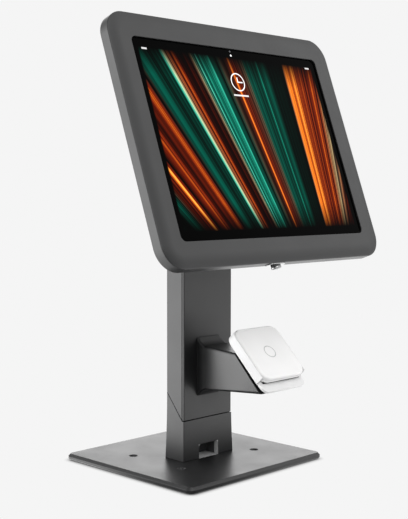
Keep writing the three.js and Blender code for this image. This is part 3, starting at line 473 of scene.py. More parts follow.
def reader_plastic():
    """White shell of the card reader, with the plain printed ring on its face."""
    material, t = new_material("reader_plastic")
    fine = t.noise(2600, 2.0)
    cloud = t.noise(30, 3.0)
    tone = t.mix(t.spread(cloud, 0.3, 0.7), grey(0.83, 0.004), grey(0.87, 0.004))
    centre = READER_AXES.translation
    offset = t.add("VectorMath", {0: t.place(), 1: centre}, operation="SUBTRACT").outputs["Vector"]
    distance = t.add("VectorMath", {0: offset}, operation="LENGTH").outputs["Value"]
    outer = READER["ring"] * MM
    ring = t.band(distance, outer - READER["ring_width"] * MM, outer, 0.00008)
    tone = t.mix(t.math("MULTIPLY", ring, 0.75), tone, grey(0.34))
    rough = t.spread(t.math("ADD", fine, cloud), 0.7, 1.3, 0.3, 0.4)
    t.surface(**{"Base Color": tone, "Roughness": rough, "Normal": t.bump(fine, 0.006, 0.5)})
    return material


def plastic_with_slot_shade(name, dark, light):
    """White plastic with painted shade: its card slot, under the reader's front wall, is coloured dark where shadow
    falls.
    """
    material, t = new_material(name)
    fine = t.noise(2600, 2.0)
    cloud = t.noise(35, 3.0)
    tone = t.mix(t.spread(cloud, 0.3, 0.7), dark, light)
    reader_low, _ = local_box("card_reader_top", READER_AXES)
    offset = t.add("VectorMath", {0: t.place(), 1: READER_AXES.translation}, operation="SUBTRACT")
    along = t.dot(offset.outputs["Vector"], READER_AXES.col[1].to_3d())
    across = t.dot(offset.outputs["Vector"], RIGHT)
    out = t.dot(offset.outputs["Vector"], READER_AXES.col[2].to_3d())
    start = (reader_low.y + 0.5) * MM
    half, top = READER["slot_half"] * MM, (READER["slot_top"] + 0.3) * MM
    inside = t.math("MULTIPLY", t.spread(along, start, start + 0.0003), t.band(across, -half, half, 0.0002))
    inside = t.math("MULTIPLY", inside, t.spread(out, top + 0.0002, top))
    # painted shade: near-black in the card slot and on the dock floor under the reader's front wall
    tone = t.mix(inside, tone, grey(0.01))
    rough = t.spread(t.math("ADD", fine, cloud), 0.7, 1.3, 0.31, 0.43)
    t.surface(**{"Base Color": tone, "Roughness": rough, "Normal": t.bump(fine, 0.006, 0.5)})
    return material


def rubber():
    material, t = new_material("rubber")
    fine = t.noise(1800, 4.0)
    dust = t.noise(60, 4.0, roughness=0.7)
    tone = t.mix(t.spread(dust, 0.45, 0.75, 0.0, 0.35), grey(0.014), (0.06, 0.058, 0.054, 1))
    rough = t.spread(fine, 0.3, 0.7, 0.62, 0.85)
    t.surface(**{"Base Color": tone, "Roughness": rough, "Normal": t.bump(fine, 0.02, 0.5)})
    return material


def aluminium():
    """Bead-blasted anodised aluminium."""
    material, t = new_material("aluminium")
    blast = t.noise(4200, 2.0)
    cloud = t.noise(40, 3.0)
    tone = t.mix(cloud, (0.36, 0.365, 0.375, 1), (0.46, 0.465, 0.475, 1))
    # painted shade: the colour darkens in crevices and recesses by ambient occlusion
    crevice_shade = t.add("AmbientOcclusion", {"Distance": 0.03}, samples=8).outputs["AO"]
    tone = t.mix(t.spread(crevice_shade, 0.1, 0.8), grey(0.06), tone)
    rough = t.spread(t.math("ADD", blast, cloud), 0.7, 1.3, 0.34, 0.46)
    normal = t.bump(blast, 0.008, 0.5)
    t.surface(**{"Base Color": tone, "Metallic": 0.9, "Roughness": rough, "Normal": normal})
    return material


def circuit_board():
    """Solder mask with straight copper runs and small pads showing through."""
    material, t = new_material("circuit_board")
    grid = t.add("TexVoronoi", {"Vector": t.place(), "Scale": 160.0}, distance="CHEBYCHEV")
    cell = grid.outputs["Distance"]
    run = t.add("TexBrick", {"Vector": t.place(), "Scale": 210.0, "Mortar Size": 0.03})
    trace = run.outputs["Fac"]
    pad = t.spread(cell, 0.16, 0.14)
    tone = t.mix(trace, (0.012, 0.075, 0.035, 1), (0.025, 0.16, 0.07, 1))
    tone = t.mix(pad, tone, (0.55, 0.42, 0.16, 1))
    rough = t.spread(t.noise(900), 0.3, 0.7, 0.32, 0.5)
    normal = t.bump(t.math("ADD", trace, pad), 0.03, 0.6)
    t.surface(**{"Base Color": tone, "Metallic": pad, "Roughness": rough, "Normal": normal})
    return material


def battery_cell():
    """Black wrapped cell with soft creases in its film."""
    material, t = new_material("battery_cell")
    crease = t.noise(70, 5.0, roughness=0.65)
    tone = t.mix(crease, grey(0.028), grey(0.06))
    rough = t.spread(crease, 0.3, 0.7, 0.22, 0.42)
    t.surface(**{"Base Color": tone, "Roughness": rough, "Normal": t.bump(crease, 0.15, 0.6)})
    return material


def display_glass():
    """Black glass over a lit panel showing slanting light beams and a plain clock face."""
    material, t = new_material("display_glass")
    low, high = local_box("tablet_display", HEAD_AXES)
    lit_x, lit_y = 131.4 * MM, 98.5 * MM
    origin = HEAD_AXES.translation
    offset = t.add("VectorMath", {0: t.place(), 1: origin}, operation="SUBTRACT").outputs["Vector"]
    u = t.dot(offset, HEAD_AXES.col[0].to_3d())
    v = t.dot(offset, HEAD_AXES.col[1].to_3d())
    # beams fan gently from a point far below the screen
    across = t.math("SUBTRACT", u, 0.08)
    along = t.math("ADD", v, 0.33)
    angle = t.math("ARCTAN2", across, along)
    streak = t.add("TexNoise", {"W": t.math("MULTIPLY", angle, 46.0), "Scale": 1.0, "Detail": 5.0,
                                "Roughness": 0.72}, noise_dimensions="1D").outputs["Fac"]
    sweep = t.add("TexNoise", {"W": t.math("MULTIPLY", angle, 12.0), "Scale": 1.0, "Detail": 1.0},
                  noise_dimensions="1D").outputs["Fac"]
    bright = t.math("POWER", t.spread(streak, 0.36, 0.68), 1.35)
    bright = t.math("MULTIPLY", bright, t.spread(sweep, 0.40, 0.62, 0.04, 1.0))
    teal = t.ramp(bright, ((0.0, (0, 0, 0, 1)), (0.35, (0.0, 0.07, 0.045, 1)),
                           (0.7, (0.02, 0.36, 0.24, 1)), (1.0, (0.45, 0.85, 0.70, 1))))
    fire = t.ramp(bright, ((0.0, (0, 0, 0, 1)), (0.28, (0.16, 0.012, 0.002, 1)),
                           (0.55, (0.75, 0.16, 0.01, 1)), (0.8, (0.95, 0.48, 0.08, 1)),
                           (1.0, (1.0, 0.9, 0.6, 1))))
    hue = t.add("TexNoise", {"W": t.math("MULTIPLY", angle, 6.1), "Scale": 1.0, "Detail": 0.0},
                noise_dimensions="1D").outputs["Fac"]
    picture = t.mix(t.spread(hue, 0.47, 0.53), teal, fire)
    fade = t.math("MULTIPLY", t.band(v, -0.066, 0.066, 0.028), t.band(u, -0.13, 0.13, 0.002))
    picture = t.mix(fade, (0, 0, 0, 1), picture)
    # a plain analogue clock near the top, and three small round marks
    cu = u
    cv = t.math("SUBTRACT", v, 0.0665)
    radius = t.math("SQRT", t.math("ADD", t.math("MULTIPLY", cu, cu), t.math("MULTIPLY", cv, cv)))
    ring = t.band(radius, 0.0092, 0.0100, 0.0003)
    hour = t.math("MULTIPLY", t.band(cu, -0.0005, 0.0005, 0.0002), t.band(cv, -0.0005, 0.0052, 0.0002))
    minute = t.math("MULTIPLY", t.band(cv, -0.0005, 0.0005, 0.0002), t.band(cu, -0.0005, 0.0070, 0.0002))
    marks = t.math("MAXIMUM", ring, t.math("MAXIMUM", hour, minute))
    pill_u = t.math("SUBTRACT", t.math("ABSOLUTE", u), 0.1235)
    pill = t.math("MULTIPLY", t.band(pill_u, -0.0032, 0.0032, 0.0004), t.band(v, 0.0918, 0.0932, 0.0004))
    marks = t.math("MAXIMUM", marks, t.math("MULTIPLY", pill, 0.6), clamp=True)
    bar = t.math("MULTIPLY", t.band(u, -0.011, 0.011, 0.0004), t.band(v, 0.0508, 0.0521, 0.0004))
    dot_v = t.math("SUBTRACT", v, 0.0966)
    dot_r = t.math("SQRT", t.math("ADD", t.math("MULTIPLY", u, u), t.math("MULTIPLY", dot_v, dot_v)))
    dot = t.band(dot_r, -1.0, 0.0009, 0.0004)
    marks = t.math("MAXIMUM", marks, t.math("MAXIMUM", t.math("MULTIPLY", bar, 0.7), dot))
    picture = t.mix(marks, picture, (0.9, 0.9, 0.9, 1))
    lit = t.math("MULTIPLY", t.band(u, -lit_x, lit_x, 0.0002), t.band(v, -lit_y, lit_y, 0.0002))
    smear = t.noise(28, 4.0, roughness=0.6)
    rough = t.spread(smear, 0.35, 0.75, 0.05, 0.16)
    inputs = {
        "Base Color": t.mix(smear, grey(0.0006), grey(0.0012)), "Roughness": rough,
        "Specular IOR Level": 0.008,
        "Normal": t.bump(smear, 0.002, 0.2), "Emission Color": picture,
        "Emission Strength": t.math("MULTIPLY", lit, 1.7),
    }
    t.surface(**inputs)
    return material


MATERIALS = {
    "painted_steel": painted_steel(),
    "steel": plated_steel(),
    "chrome": chrome(),
    "black_plastic": moulded("black_plastic", grey(0.016), grey(0.024), 0.55, 1500, 0.03),
    "white_plastic": moulded("white_plastic", grey(0.83), grey(0.88), 0.36, 2600, 0.006),
    "rubber": rubber(),
    "aluminium": aluminium(),
    "display_glass": display_glass(),
    "circuit_board": circuit_board(),
    "battery_cell": battery_cell(),
}


mouth_front = local_box("column_foot")[0].y
# painted steel with the inside of the cable mouth coloured light grey
MOUTH_LOW, MOUTH_HIGH = (-NOTCH["half"] - 0.05, mouth_front - 0.2, 5), (NOTCH["half"] + 0.05, 10, NOTCH["top"] + 0.05)
MOUTH_STEEL = painted_steel("mouth_steel", (MOUTH_LOW, MOUTH_HIGH))


def dress(piece, body, slot, *replaced, width=EDGE, segments=3, angle=30, material=None, flatten=True):
    """Gives a new piece its edges, material and body, and hides the CAD nodes it stands for."""
    soften(piece, width, segments, angle, flatten)
    piece.data.materials.clear()
    piece.data.materials.append(material or MATERIALS[slot])
    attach(piece, body)
    if replaced:
        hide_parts(*replaced)
    return piece


# ------------------------------------------------------------------ base

def base_plate():
    low, high = local_box("base_plate")
    half_x, half_y = high.x, high.y
    corner, chamfer = BASE["corner"], BASE["bevel"]

    def ring(z, inset):
        return level(outline(half_x - inset, half_y - inset, corner - inset, 16), z)

    rings = [ring(low.z, BASE["foot"]), ring(low.z + BASE["foot"], 0), ring(high.z - chamfer, 0), ring(high.z, chamfer)]
    plate = make("base_plate_skin", rings)
    cutters = []
    for _, sx in SIDES:
        for _, sy in SIDES:
            centre = (sx * FIXING["x"], sy * FIXING["y"])
            depth = FIXING["sink_depth"]
            overshoot = 0.5
            spread = (FIXING["sink"] - FIXING["radius"]) * overshoot / depth
            cutters.append(rod(FIXING["radius"], 0, high.z + 1, centre=centre))
            sink = [
                level(circle(FIXING["radius"] - 0.01, 48, centre), high.z - depth),
                level(circle(FIXING["sink"] + spread, 48, centre), high.z + overshoot),
            ]
            cutters.append(make("cutter", sink))
    cut(plate, *cutters)
    return dress(plate, "stand", "painted_steel", "base_plate", width=0.3, material=MOUTH_STEEL)


# ------------------------------------------------------------------ column foot

def seam_wedge(back, lift=0.0):
    """Everything above the slanted seam; `back` is the depth where the seam is highest."""
    slope = (FOOT["seam_back"] - FOOT["seam_front"]) / (back - FOOT["seam_start"])
    low = FOOT["seam_front"] + lift
    points = [
        (-FAR, low), (FOOT["seam_start"], low), (FAR, low + slope * (FAR - FOOT["seam_start"])),
        (FAR, 500), (-FAR, 500),
    ]
    rings = [[(x, y, z) for y, z in points] for x in (-FAR, FAR)]
    return make("cutter", rings)


def column_foot():
    low, high = local_box("column_foot")
    channel_low, channel_high = local_box("column_channel")
    cover_low, _ = local_box("column_front_cover")
    half_x = channel_high.x
    half_y = (channel_high.y - cover_low.y) / 2
    mid = (channel_high.y + cover_low.y) / 2
    levels = 24
    rings = []
    for i in range(levels + 1):
        rise = i / levels
        z = low.z + rise * (FOOT["seam_back"] - low.z)
        flare = FOOT["flare"] * (1 - rise) ** 2
        rings.append(level(outline(half_x + flare, half_y + flare, COLUMN_CORNER, 8, (0, mid)), z))
    foot = make("column_foot_skin", rings)
    wall = FOOT["wall"]
    inner = prism(outline(half_x - wall, half_y - wall, 1, 4, (0, mid)), -5, 200)
    arch = outline(NOTCH["half"], NOTCH["top"], NOTCH["corner"], 8, (0, 0))
    mouth = make("cutter", [[(x, y, z) for x, z in arch] for y in (cover_low.y - 10, cover_low.y + 12)])
    cut(foot, inner, mouth, seam_wedge(channel_high.y))
    return dress(foot, "stand", "painted_steel", "column_foot", width=0.3, angle=25, material=MOUTH_STEEL)


def column_front_cover():
    """Front half of the column: its sides lean in slightly and its corners are rounded."""
    low, high = local_box("column_front_cover")
    _, channel_high = local_box("column_channel")
    half, front = high.x, low.y
    seam, draft, corner = COVER["seam"], COVER["draft"], COVER["corner"]
    back = front + COLUMN_PLATE
    right = [(half - seam, back), (half, back - seam), (half - draft, front + corner)]
    for i in range(1, 7):
        angle = math.radians(90 * i / 6)
        right.append((half - draft - corner * (1 - math.cos(angle)), front + corner * (1 - math.sin(angle))))
    section = right + [(-x, y) for x, y in reversed(right)]
    cover = prism(section, low.z - 1, high.z, name="column_front_cover_skin")
    rib_out = half - COVER["rib_inset"]
    for _, side in SIDES:
        xs = sorted((side * rib_out, side * (rib_out - COVER["rib"])))
        join(cover, block((xs[0], back - 0.5, 125), (xs[1], high.y, 290)))
    combine(cover, "INTERSECT", [seam_wedge(channel_high.y, COVER["gap"])])
    for z, radius in COVER_HOLES:
        cut(cover, rod(radius, -FAR, FAR, axes((0, 0, z * MM), (0, 1, 0)), steps=32))
    return dress(cover, "stand", "painted_steel", "column_front_cover", width=0.15, segments=2, angle=40)


# ------------------------------------------------------------------ reader arm

def arm_skin(inset, name):
    """Flared root, straight cheeks and sloping front; `inset` makes the hollow inside."""
    _, arm_high = local_box("reader_arm")
    face = arm_high.y
    dock_low, dock_high = local_box("reader_dock", READER_AXES)
    reader_to_kiosk = READER_AXES
    fillet = 14
    middle = (ARM["bottom"] + ARM["top"]) / 2

    def ring(half_x, low, high, radius, depth_of):
        half_z = (high - low) / 2
        centre = (0, (high + low) / 2)
        points = outline(half_x - inset, half_z - inset, max(radius - inset, 0.6), 8, centre)
        return [(x, depth_of(z), z) for x, z in points]

    rings = []
    if inset == 0:
        rings.append(ring(ARM["half"], ARM["bottom"], ARM["top"], ARM["corner"], lambda z: face))
    for i in range(fillet + 1):
        share = i / fillet
        angle = math.radians(90 * share)
        depth = face - 0.8 - ARM["reach"] * (1 - math.cos(angle) + share) / 2
        shrink = ARM["rise"] * (math.sin(angle) + share) / 2
        if inset > 0 and depth > face - 3:
            continue
        low, high = ARM["bottom"] + shrink, ARM["top"] - shrink
        rings.append(ring(ARM["half"] - 0.4, low, high, ARM["corner"], lambda z, d=depth: d))
    low_point = ARM_FRONT[0] - inset * READER_OUT_MM
    high_point = ARM_FRONT[1] - inset * READER_OUT_MM
    slope = (high_point.y - low_point.y) / (high_point.z - low_point.z)

    def front_depth(z):
        return low_point.y + (z - low_point.z) * slope

    front = ring(ARM["front_half"], low_point.z, high_point.z, ARM["front_corner"], front_depth)
    root = rings[-1]
    steps = 10
    for i in range(1, steps + 1):
        share = i / steps
        rings.append([tuple(a + share * (b - a) for a, b in zip(p, q)) for p, q in zip(root, front)])
    return make(name, rings)


def reader_point(up, out):
    """Kiosk point, in mm, from a height up the reader's face and a height out of it."""
    point = READER_ORIGIN + up * READER_UP + out * READER_OUT_MM
    return point


READER_MID = (30.2 - 33) / 2     # centre of the reader's face above its own origin
READER_OUT_MM = READER_AXES.col[2].to_3d()
READER_UP = READER_AXES.col[1].to_3d()
READER_ORIGIN = READER_AXES.translation / MM - READER_MID * READER_UP
ARM_FRONT = (reader_point(-39.7, -15.9), reader_point(12, -14.5))
DOCK_AXES = axes(READER_ORIGIN * MM, reader_out)


def reader_arm():
    arm = arm_skin(0, "reader_arm_skin")
    dock_low, _ = local_box("reader_dock", DOCK_AXES)
    seat_low, seat_high = -36, 8
    half_y = (seat_high - seat_low) / 2
    seat_outline = outline(ARM["seat_half"], half_y, ARM["seat_corner"], 8, (0, (seat_low + seat_high) / 2))
    join(arm, prism(seat_outline, -18.3, dock_low.z - 0.3, DOCK_AXES))
    root_hole = rod(7, -FAR, 40, axes((0, 0, 107.8 * MM), (0, 1, 0)))
    cable_hole = rod(5, -26, -6, DOCK_AXES, (0, -8))
    cut(arm, arm_skin(ARM["wall"], "cutter"), cable_hole)
    cut(arm, root_hole)
    return dress(arm, "stand", "painted_steel", "reader_arm", width=0.4, angle=28)


# ------------------------------------------------------------------ card reader and dock

def reader_dock():
    low, high = local_box("reader_dock", DOCK_AXES)
    reader_l, reader_h = local_box("card_reader_top", DOCK_AXES)
    half = high.x
    top = high.y
    floor_low = low.z
    floor_high = floor_low + DOCK["floor"]
    wall_top = high.z
    bottom = -FAR
    half_y, mid = (top - bottom) / 2, (top + bottom) / 2
    levels = [(floor_low, DOCK["draft"] + 0.3), (floor_low + 0.5, DOCK["draft"] / 2), (floor_low + 1.2, 0),
              (wall_top - 0.3, DOCK["draft"] - 0.1), (wall_top, DOCK["draft"])]
    rings = [level(outline(half - i, half_y - i, DOCK["corner"], 14, (0, mid)), z) for z, i in levels]
    cup = make("reader_dock_skin", rings)
    gap = 0.08
    inner_top = reader_h.y + gap
    well_half = (inner_top + 2 * FAR) / 2
    well_outline = outline(reader_h.x + gap, well_half, READER["corner"], 14, (0, inner_top - well_half))
    beyond = block((-FAR, -2 * FAR, floor_low - 1), (FAR, DOCK["wall_end"], 5), DOCK_AXES)
    well = prism(well_outline, floor_high, 5, DOCK_AXES)
    bring(cup, DOCK_AXES)
    cut(cup, well, beyond)
    tongue_half = (10 - low.y) / 2
    tongue_outline = outline(32.5, tongue_half, DOCK["lip_corner"], 12, (0, low.y + tongue_half))
    join(cup, prism(tongue_outline, floor_low, floor_high, DOCK_AXES))
    holes = [rod(4.5, -20, 5, DOCK_AXES, (0, -8))]
    for _, side in SIDES:
        holes.append(rod(2.2, -20, 5, DOCK_AXES, (side * DOCK["screw_x"], -8)))
    cut(cup, *holes)
    # dock plastic: a darker grey than the reader's, with painted shade under the reader's front wall
    plastic = plastic_with_slot_shade("dock_plastic", grey(0.68), grey(0.74))
    return dress(cup, "stand", "white_plastic", "reader_dock", width=0.35, material=plastic)


def bring(piece, matrix):
    """Moves a mesh made in plain axes into local axes."""
    piece.data.transform(matrix)


def reader_shell(name, levels, pocket, extra=()):
    low, high = local_box("card_reader_top", DOCK_AXES)
    half_x, half_y = high.x, (high.y - low.y) / 2
    mid = (high.y + low.y) / 2
    rings = [level(outline(half_x - i, half_y - i, READER["corner"] - i, 16, (0, mid)), z) for z, i in levels]
    body = make(name, rings, DOCK_AXES)
    wall = 1.5
    inner = outline(half_x - wall, half_y - wall, READER["corner"] - wall, 16, (0, mid))
    cut(body, prism(inner, pocket[0], pocket[1], DOCK_AXES), *extra)
    return body


def card_reader():
    shoulder = 1.8
    levels = [(-4, 0.15), (-3.85, 0), (-1.7, 0)]
    steps = 8
    for i in range(1, steps + 1):
        angle = math.radians(90 * i / steps)
        levels.append((-1.7 * (1 - math.sin(angle)), shoulder * (1 - math.cos(angle))))
    groove_outer = circle(READER["ring"], 96, (0, READER_MID))
    groove = prism(groove_outer, -0.12, 1, DOCK_AXES)
    cut(groove, prism(circle(READER["ring"] - READER["ring_width"], 96, (0, READER_MID)), -1, 2, DOCK_AXES))
    top = reader_shell("card_reader_top_skin", levels, (-10, -1.9), (groove,))
    plastic = reader_plastic()
    dress(top, "stand", "white_plastic", "card_reader_top", width=0.12, segments=2, material=plastic)
    low, high = local_box("card_reader_bottom", DOCK_AXES)
    levels = [(low.z, 1.4), (low.z + 0.25, 0.75), (low.z + 0.7, 0.3), (low.z + 1.6, 0), (high.z - 0.15, 0), (high.z, 0.15)]
    slot = block((-READER["slot_half"], low.y - 5, low.z - 1), (READER["slot_half"], low.y + 9, READER["slot_top"]), DOCK_AXES)
    bottom = reader_shell("card_reader_bottom_skin", levels, (READER["slot_top"] + 0.6, 3), (slot,))
    # reader base plastic: painted shade inside the card slot under the reader's front wall
    plastic = plastic_with_slot_shade("reader_base_plastic", grey(0.83), grey(0.87))
    dress(bottom, "stand", "white_plastic", "card_reader_bottom", width=0.15, segments=2, material=plastic)


# ------------------------------------------------------------------ head

def front_cover():
    """Crowned bezel as one closed loop of rings, with its lock hole and hinge ears."""
    low, high = local_box("front_cover", HEAD_AXES)
    half_x, half_y = high.x, -low.y
    back = -HEAD["depth"]
    corner, wall, face = HEAD["corner"], HEAD["wall"], HEAD["face"]
    steps = 18

    def outer(inset, z):
        return level(outline(half_x - inset, half_y - inset, corner - inset, steps), z)

    def window(grow, z):
        sizes = (WINDOW["half_x"] + grow, WINDOW["half_y"] + grow, WINDOW["corner"] + grow)
        return level(outline(*sizes, steps), z)

    rings = [outer(wall, back), outer(0.3, back), outer(0.08, back + 0.08), outer(0, back + 0.3)]
    rim, crown, rise = HEAD["rim"], HEAD["dome_width"], HEAD["dome_depth"]
    start = math.radians(HEAD["rim_turn"])
    rim_in, rim_up = rim * (1 - math.cos(start)), rim * math.sin(start)
    rim_steps, crown_steps = 6, 16
    shoulder = -(rise - HEAD["rim_rise"])
    for i in range(rim_steps + 1):
        angle = start * i / rim_steps
        rings.append(outer(rim * (1 - math.cos(angle)), shoulder - rim_up + rim * math.sin(angle)))
    for i in range(1, crown_steps + 1):
        share = i / crown_steps
        rings.append(outer(rim_in + (crown - rim_in) * share, shoulder * (1 - share) ** 2))
    rings.append(outer(crown + 0.5, 0))
    rings.append(window(1, 0))
    rounding = 0.45
    for i in range(5):
        angle = math.radians(90 * i / 4)
        rings.append(window(rounding * (1 - math.sin(angle)), -rounding * (1 - math.cos(angle))))
    rings += [window(0, -face + 0.1), window(0.1, -face), outer(wall, -face)]
    shell = make("front_cover_skin", rings, HEAD_AXES, closed=True)
    cut(shell, rod(LOCK["hole"], -5, 5, LOCK_AXES))
    bores = []
    for _, side in SIDES:
        for _, ear in SIDES:
            x0 = side * HINGE["at"] + ear * HINGE["ear_at"] - HINGE["ear_half"]
            x1 = x0 + 2 * HINGE["ear_half"]
            barrel = cylinder_along_x(HINGE["radius"], x0, x1, HINGE["v"], HINGE["w"], HEAD_AXES)
            tab_low = (x0, half_y - wall + 0.05, HINGE["w"])
            tab_high = (x1, HINGE["v"] + HINGE["radius"], back + 2)
            join(shell, barrel, block(tab_low, tab_high, HEAD_AXES))
        x = side * HINGE["at"]
        bores.append(cylinder_along_x(HINGE["bore"], x - 12, x + 12, HINGE["v"], HINGE["w"], HEAD_AXES))
    cut(shell, *bores)
    return dress(shell, "cover", "painted_steel", "front_cover", width=0, flatten=False)


cover_low, _ = local_box("front_cover", HEAD_AXES)
LOCK_AXES = (
    HEAD_AXES
    @ Matrix.Translation((LOCK["u"] * MM, cover_low.y * MM, LOCK["w"] * MM))
    @ Matrix.Rotation(math.radians(90), 4, "X")
)


def lock():
    """Barrel, plug and escutcheon of the cam lock, turned about the lock's own axis."""
    proud, seat = LOCK["proud"], LOCK["seat"]
    collar, body, bore, face_bore = LOCK["collar"], LOCK["body"], LOCK["bore"], LOCK["face_bore"]
    barrel = [
        (body, -13.8), (body, 1.3), (collar, 1.3), (collar, proud - 0.9), (collar - 0.25, proud - 0.35),
        (collar - 0.8, proud), (face_bore + 0.25, proud), (face_bore, proud - 0.25), (face_bore, seat),
        (bore, seat), (bore, -13.8),
    ]
    dress(turned("lock_barrel_skin", barrel, LOCK_AXES), "cover", "chrome", "lock_barrel", width=0)
    face, plug, spindle, inner = LOCK["face"], LOCK["plug"], LOCK["spindle"], LOCK["inner"]
    tip = proud + 0.2
    profile = [
        (spindle, -17.2), (spindle, -inner), (plug, -inner), (plug, seat + 0.2), (face, seat + 0.2),
        (face, tip - 0.3), (face - 0.3, tip),
    ]
    core = turned("lock_plug_skin", profile, LOCK_AXES, closed=False)
    cut(core, block((-0.45, -1.7, -3), (0.45, 1.7, 9), LOCK_AXES))
    dress(core, "lock", "chrome", "lock_plug", width=0.1, segments=2)
    long, short = 12.5, 5.3
    rings = [level(outline(long - i, short - i, short - i - 0.01, 20), z)
             for z, i in ((0.2, 0), (0.85, 0), (1.1, 0.15), (1.2, 0.5))]
    plate = make("lock_escutcheon_skin", rings, LOCK_AXES)
    cut(plate, rod(LOCK["hole"], -1, 3, LOCK_AXES))
    dress(plate, "cover", "chrome", "lock_escutcheon", width=0.08, segments=2)


def camera_eye():
    """The tablet's small front camera behind the glass border."""
    _, high = local_box("tablet_display", HEAD_AXES)
    place = HEAD_AXES @ Matrix.Translation((0, 101.3 * MM, high.z * MM))
    profile = [(0.05, 0.03), (0.5, 0.05), (0.75, 0.06), (0.95, 0.05), (1.05, 0.01), (1.05, -0.2), (0.05, -0.2)]
    eye = turned("tablet_camera", profile, place, 48)
    material, t = new_material("camera_lens")
    offset = t.add("VectorMath", {0: t.place(), 1: place.translation}, operation="SUBTRACT").outputs["Vector"]
    distance = t.add("VectorMath", {0: offset}, operation="LENGTH").outputs["Value"]
    tone = t.ramp(t.spread(distance, 0.0, 0.0011), ((0.0, (0.03, 0.035, 0.05, 1)), (0.45, (0.05, 0.06, 0.075, 1)),
                                                    (0.62, (0.02, 0.02, 0.03, 1)), (1.0, (0.01, 0.01, 0.012, 1))))
    rough = t.spread(t.noise(3000), 0.3, 0.7, 0.05, 0.15)
    t.surface(**{"Base Color": tone, "Roughness": rough, "Coat Weight": 1.0})
    dress(eye, "head", "display_glass", width=0, material=material)


# ------------------------------------------------------------------ joint hardware and cable

def joint_hardware():
    """Fine round meshes for the washers and hub nut of the tilt and turn joints."""
    for name, body in (("tilt_washer_left", "stand"), ("tilt_washer_right", "stand")):
        low, high = local_box(name)
        centre = (low + high) / 2
        along = Matrix.Translation(centre * MM) @ Matrix.Rotation(math.radians(90), 4, "Y")
        half = (high.x - low.x) / 2
        skin = ring_piece(name + "_skin", high.y - centre.y, 4.2, -half, half, along, 0.08)
        dress(skin, body_name(name), SLOTS[name], name, width=0)
    for name, inner in (("turn_washer", 15.3), ("hub_nut", 15.3)):
        low, high = local_box(name, HEAD_AXES)
        skin = ring_piece(name + "_skin", high.x, inner, low.z, high.z, HEAD_AXES, 0.2)
        if name == "hub_nut":
            reach = high.x + 1
            slots = []
            for i in range(6):
                turn = Matrix.Rotation(math.radians(60 * i), 4, "Z")
                slots.append(block((high.x - 1.8, -1.7, low.z - 1), (reach, 1.7, high.z + 1), HEAD_AXES @ turn))
            cut(skin, *slots)
        dress(skin, body_name(name), SLOTS[name], name, width=0.1, segments=2)


def body_name(node):
    return NODES[node]["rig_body"]


def tube(name, points, radius, steps=24):
    """Round cable along a smooth curve through points in mm."""
    curve = bpy.data.curves.new(name, "CURVE")
    curve.dimensions = "3D"
    spline = curve.splines.new("NURBS")
    spline.points.add(len(points) - 1)
    for point, place in zip(spline.points, points):
        point.co = (*[c * MM for c in place], 1)
    spline.use_endpoint_u = True
    spline.order_u = 4
    spline.resolution_u = steps
    curve.bevel_depth = radius * MM
    curve.bevel_resolution = 6
    curve.use_fill_caps = True
    holder = bpy.data.objects.new(name, curve)
    bpy.context.scene.collection.objects.link(holder)
    graph = bpy.context.evaluated_depsgraph_get()
    mesh = bpy.data.meshes.new_from_object(holder.evaluated_get(graph), depsgraph=graph)
    bpy.data.objects.remove(holder)
    made = bpy.data.objects.new(name, mesh)
    bpy.context.scene.collection.objects.link(made)
    return made


def cable_loop():
    """Slack cable between the hub and the column, clear of the tilt barrel."""
    hub_end = HEAD_AXES @ Vector((0, 0, -27.6 * MM)) / MM
    column_low, _ = local_box("column_cable")
    column_end = Vector((0, column_low.y + 0.4, 323))
    points = [
        hub_end, hub_end + Vector((0, -1.0, -3)), hub_end + Vector((0, -2.6, -8)), hub_end + Vector((0, 2, -20)),
        hub_end + Vector((0, 14, -25)), column_end + Vector((0, -8, -6)), column_end + Vector((0, -3, -1)), column_end,
    ]
    loop = tube("cable_loop", points, 1.45)
    loop.data.materials.append(MATERIALS["rubber"])
    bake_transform(loop)


# ------------------------------------------------------------------ build

base_plate()
column_foot()
column_front_cover()
reader_arm()
reader_dock()
card_reader()
front_cover()
lock()
camera_eye()
joint_hardware()
cable_loop()

for node_name, node in NODES.items():
    if node.hide_render:
        continue
    soften(node, 0.25, 2)
    for index in range(max(1, len(node.material_slots))):
        if index < len(node.material_slots):
            node.material_slots[index].link = "OBJECT"
            node.material_slots[index].material = MATERIALS[SLOTS[node_name]]

# ------------------------------------------------------------------ floor, light and camera

BACKGROUND = 0.913               # the studio's plain pale grey


def floor():
    size = 6000
    sheet = make("studio_floor", [level([(-size, -size), (size, -size), (size, size), (-size, size)], z)
                                  for z in (-2, -0.05)])
    material, t = new_material("studio_floor")
    # painted contact shadow: the floor as the camera sees it darkens by ambient occlusion near the kiosk
    contact_shadow = t.add("AmbientOcclusion", {"Distance": 0.006}, samples=12).outputs["AO"]
    shade = t.math("POWER", t.spread(contact_shadow, 0.0, 0.98), 0.8)
    tone = t.mix(shade, (0, 0, 0, 1), grey(BACKGROUND))
    seen = t.add("Emission", {"Color": tone})
    position = t.add("VectorMath", {0: t.place()}, operation="NORMALIZE").outputs["Vector"]
    towards = t.math("POWER", t.math("MAXIMUM", t.dot(position, CORNER_AIM), 0.0), 4.0)
    nearer = t.math("POWER", t.math("MAXIMUM", t.dot(position, FRONT_AIM), 0.0), 2.0)
    even = t.math("MULTIPLY", t.math("SUBTRACT", 1.0, t.math("MULTIPLY", nearer, FRONT_SHADE)), FLOOR_GLOW)
    glow = t.math("ADD", t.math("MULTIPLY", towards, CORNER_GLOW), even)
    lit = t.add("Emission", {"Color": grey(1.0), "Strength": glow})
    path = t.add("LightPath").outputs["Is Camera Ray"]
    choose = t.add("MixShader", {0: path, 1: lit.outputs[0], 2: seen.outputs[0]})
    t.output(choose.outputs[0])
    sheet.data.materials.append(material)


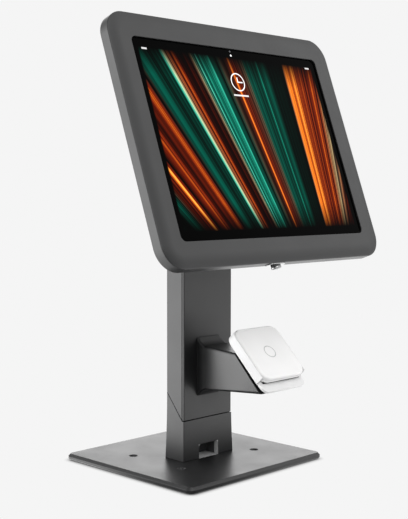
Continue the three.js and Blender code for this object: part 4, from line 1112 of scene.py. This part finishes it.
# direction the light comes from, how tight it is, and its strength
LAMPS = (
    ((-0.706, 0.706, 0.052), 10.0, 3.91),
    ((-0.656, 0.656, 0.375), 10.0, 0.43),
    ((0.700, 0.700, 0.139), 9.0, 3.2),
    ((0.720, -0.480, 0.430), 10.0, 1.8),
    ((0.423, 0.000, 0.906), 10.0, 0.70),
    ((-0.300, -0.600, 0.750), 8.0, 3.2),
    ((-0.880, -0.460, 0.120), 8.0, 0.9),
    ((-0.100, 0.750, 0.650), 6.0, 0.45),
)
AMBIENT = 0.02
# glow of the floor for everything but the camera: even part, and part towards the back left
FLOOR_GLOW = 1.55
CORNER_GLOW = 2.3
FRONT_SHADE = 0.8                # how far the glow falls towards the camera
CORNER_AIM = Vector((-0.7071, 0.7071, 0))
FRONT_AIM = Vector((-0.7071, -0.7071, 0))


def studio():
    world = bpy.data.worlds.new("studio")
    bpy.context.scene.world = world
    t = Tree(world)
    direction = t.add("TexCoord").outputs["Generated"]
    total = AMBIENT
    for aim, tightness, strength in LAMPS:
        facing = t.math("MAXIMUM", t.dot(direction, Vector(aim).normalized()), 0.0)
        lobe = t.math("MULTIPLY", t.math("POWER", facing, tightness), strength)
        total = t.math("ADD", lobe, total)
    path = t.add("LightPath").outputs["Is Camera Ray"]
    seen = t.add("Background", {"Color": grey(1.0), "Strength": BACKGROUND})
    lit = t.add("Background", {"Color": grey(1.0), "Strength": total})
    choose = t.add("MixShader", {0: path, 1: lit.outputs[0], 2: seen.outputs[0]})
    t.output(choose.outputs[0], "OutputWorld")


CAMERA = {"azimuth": -45.343, "elevation": 3.918, "roll": 0.088, "lens": 73.48, "place": (-816.7, -821.4, 301.3)}


def camera():
    data = bpy.data.cameras.new("camera")
    data.lens = CAMERA["lens"]
    data.clip_start, data.clip_end = 0.01, 50
    eye = bpy.data.objects.new("camera", data)
    bpy.context.scene.collection.objects.link(eye)
    turn = Matrix.Rotation(math.radians(CAMERA["azimuth"]), 4, "Z")
    lean = Matrix.Rotation(math.radians(90 - CAMERA["elevation"]), 4, "X")
    roll = Matrix.Rotation(math.radians(CAMERA["roll"]), 4, "Z")
    eye.matrix_world = Matrix.Translation(Vector(CAMERA["place"]) * MM) @ turn @ lean @ roll
    bpy.context.scene.camera = eye


floor()
studio()
camera()
bpy.context.scene.view_settings.view_transform = "Standard"
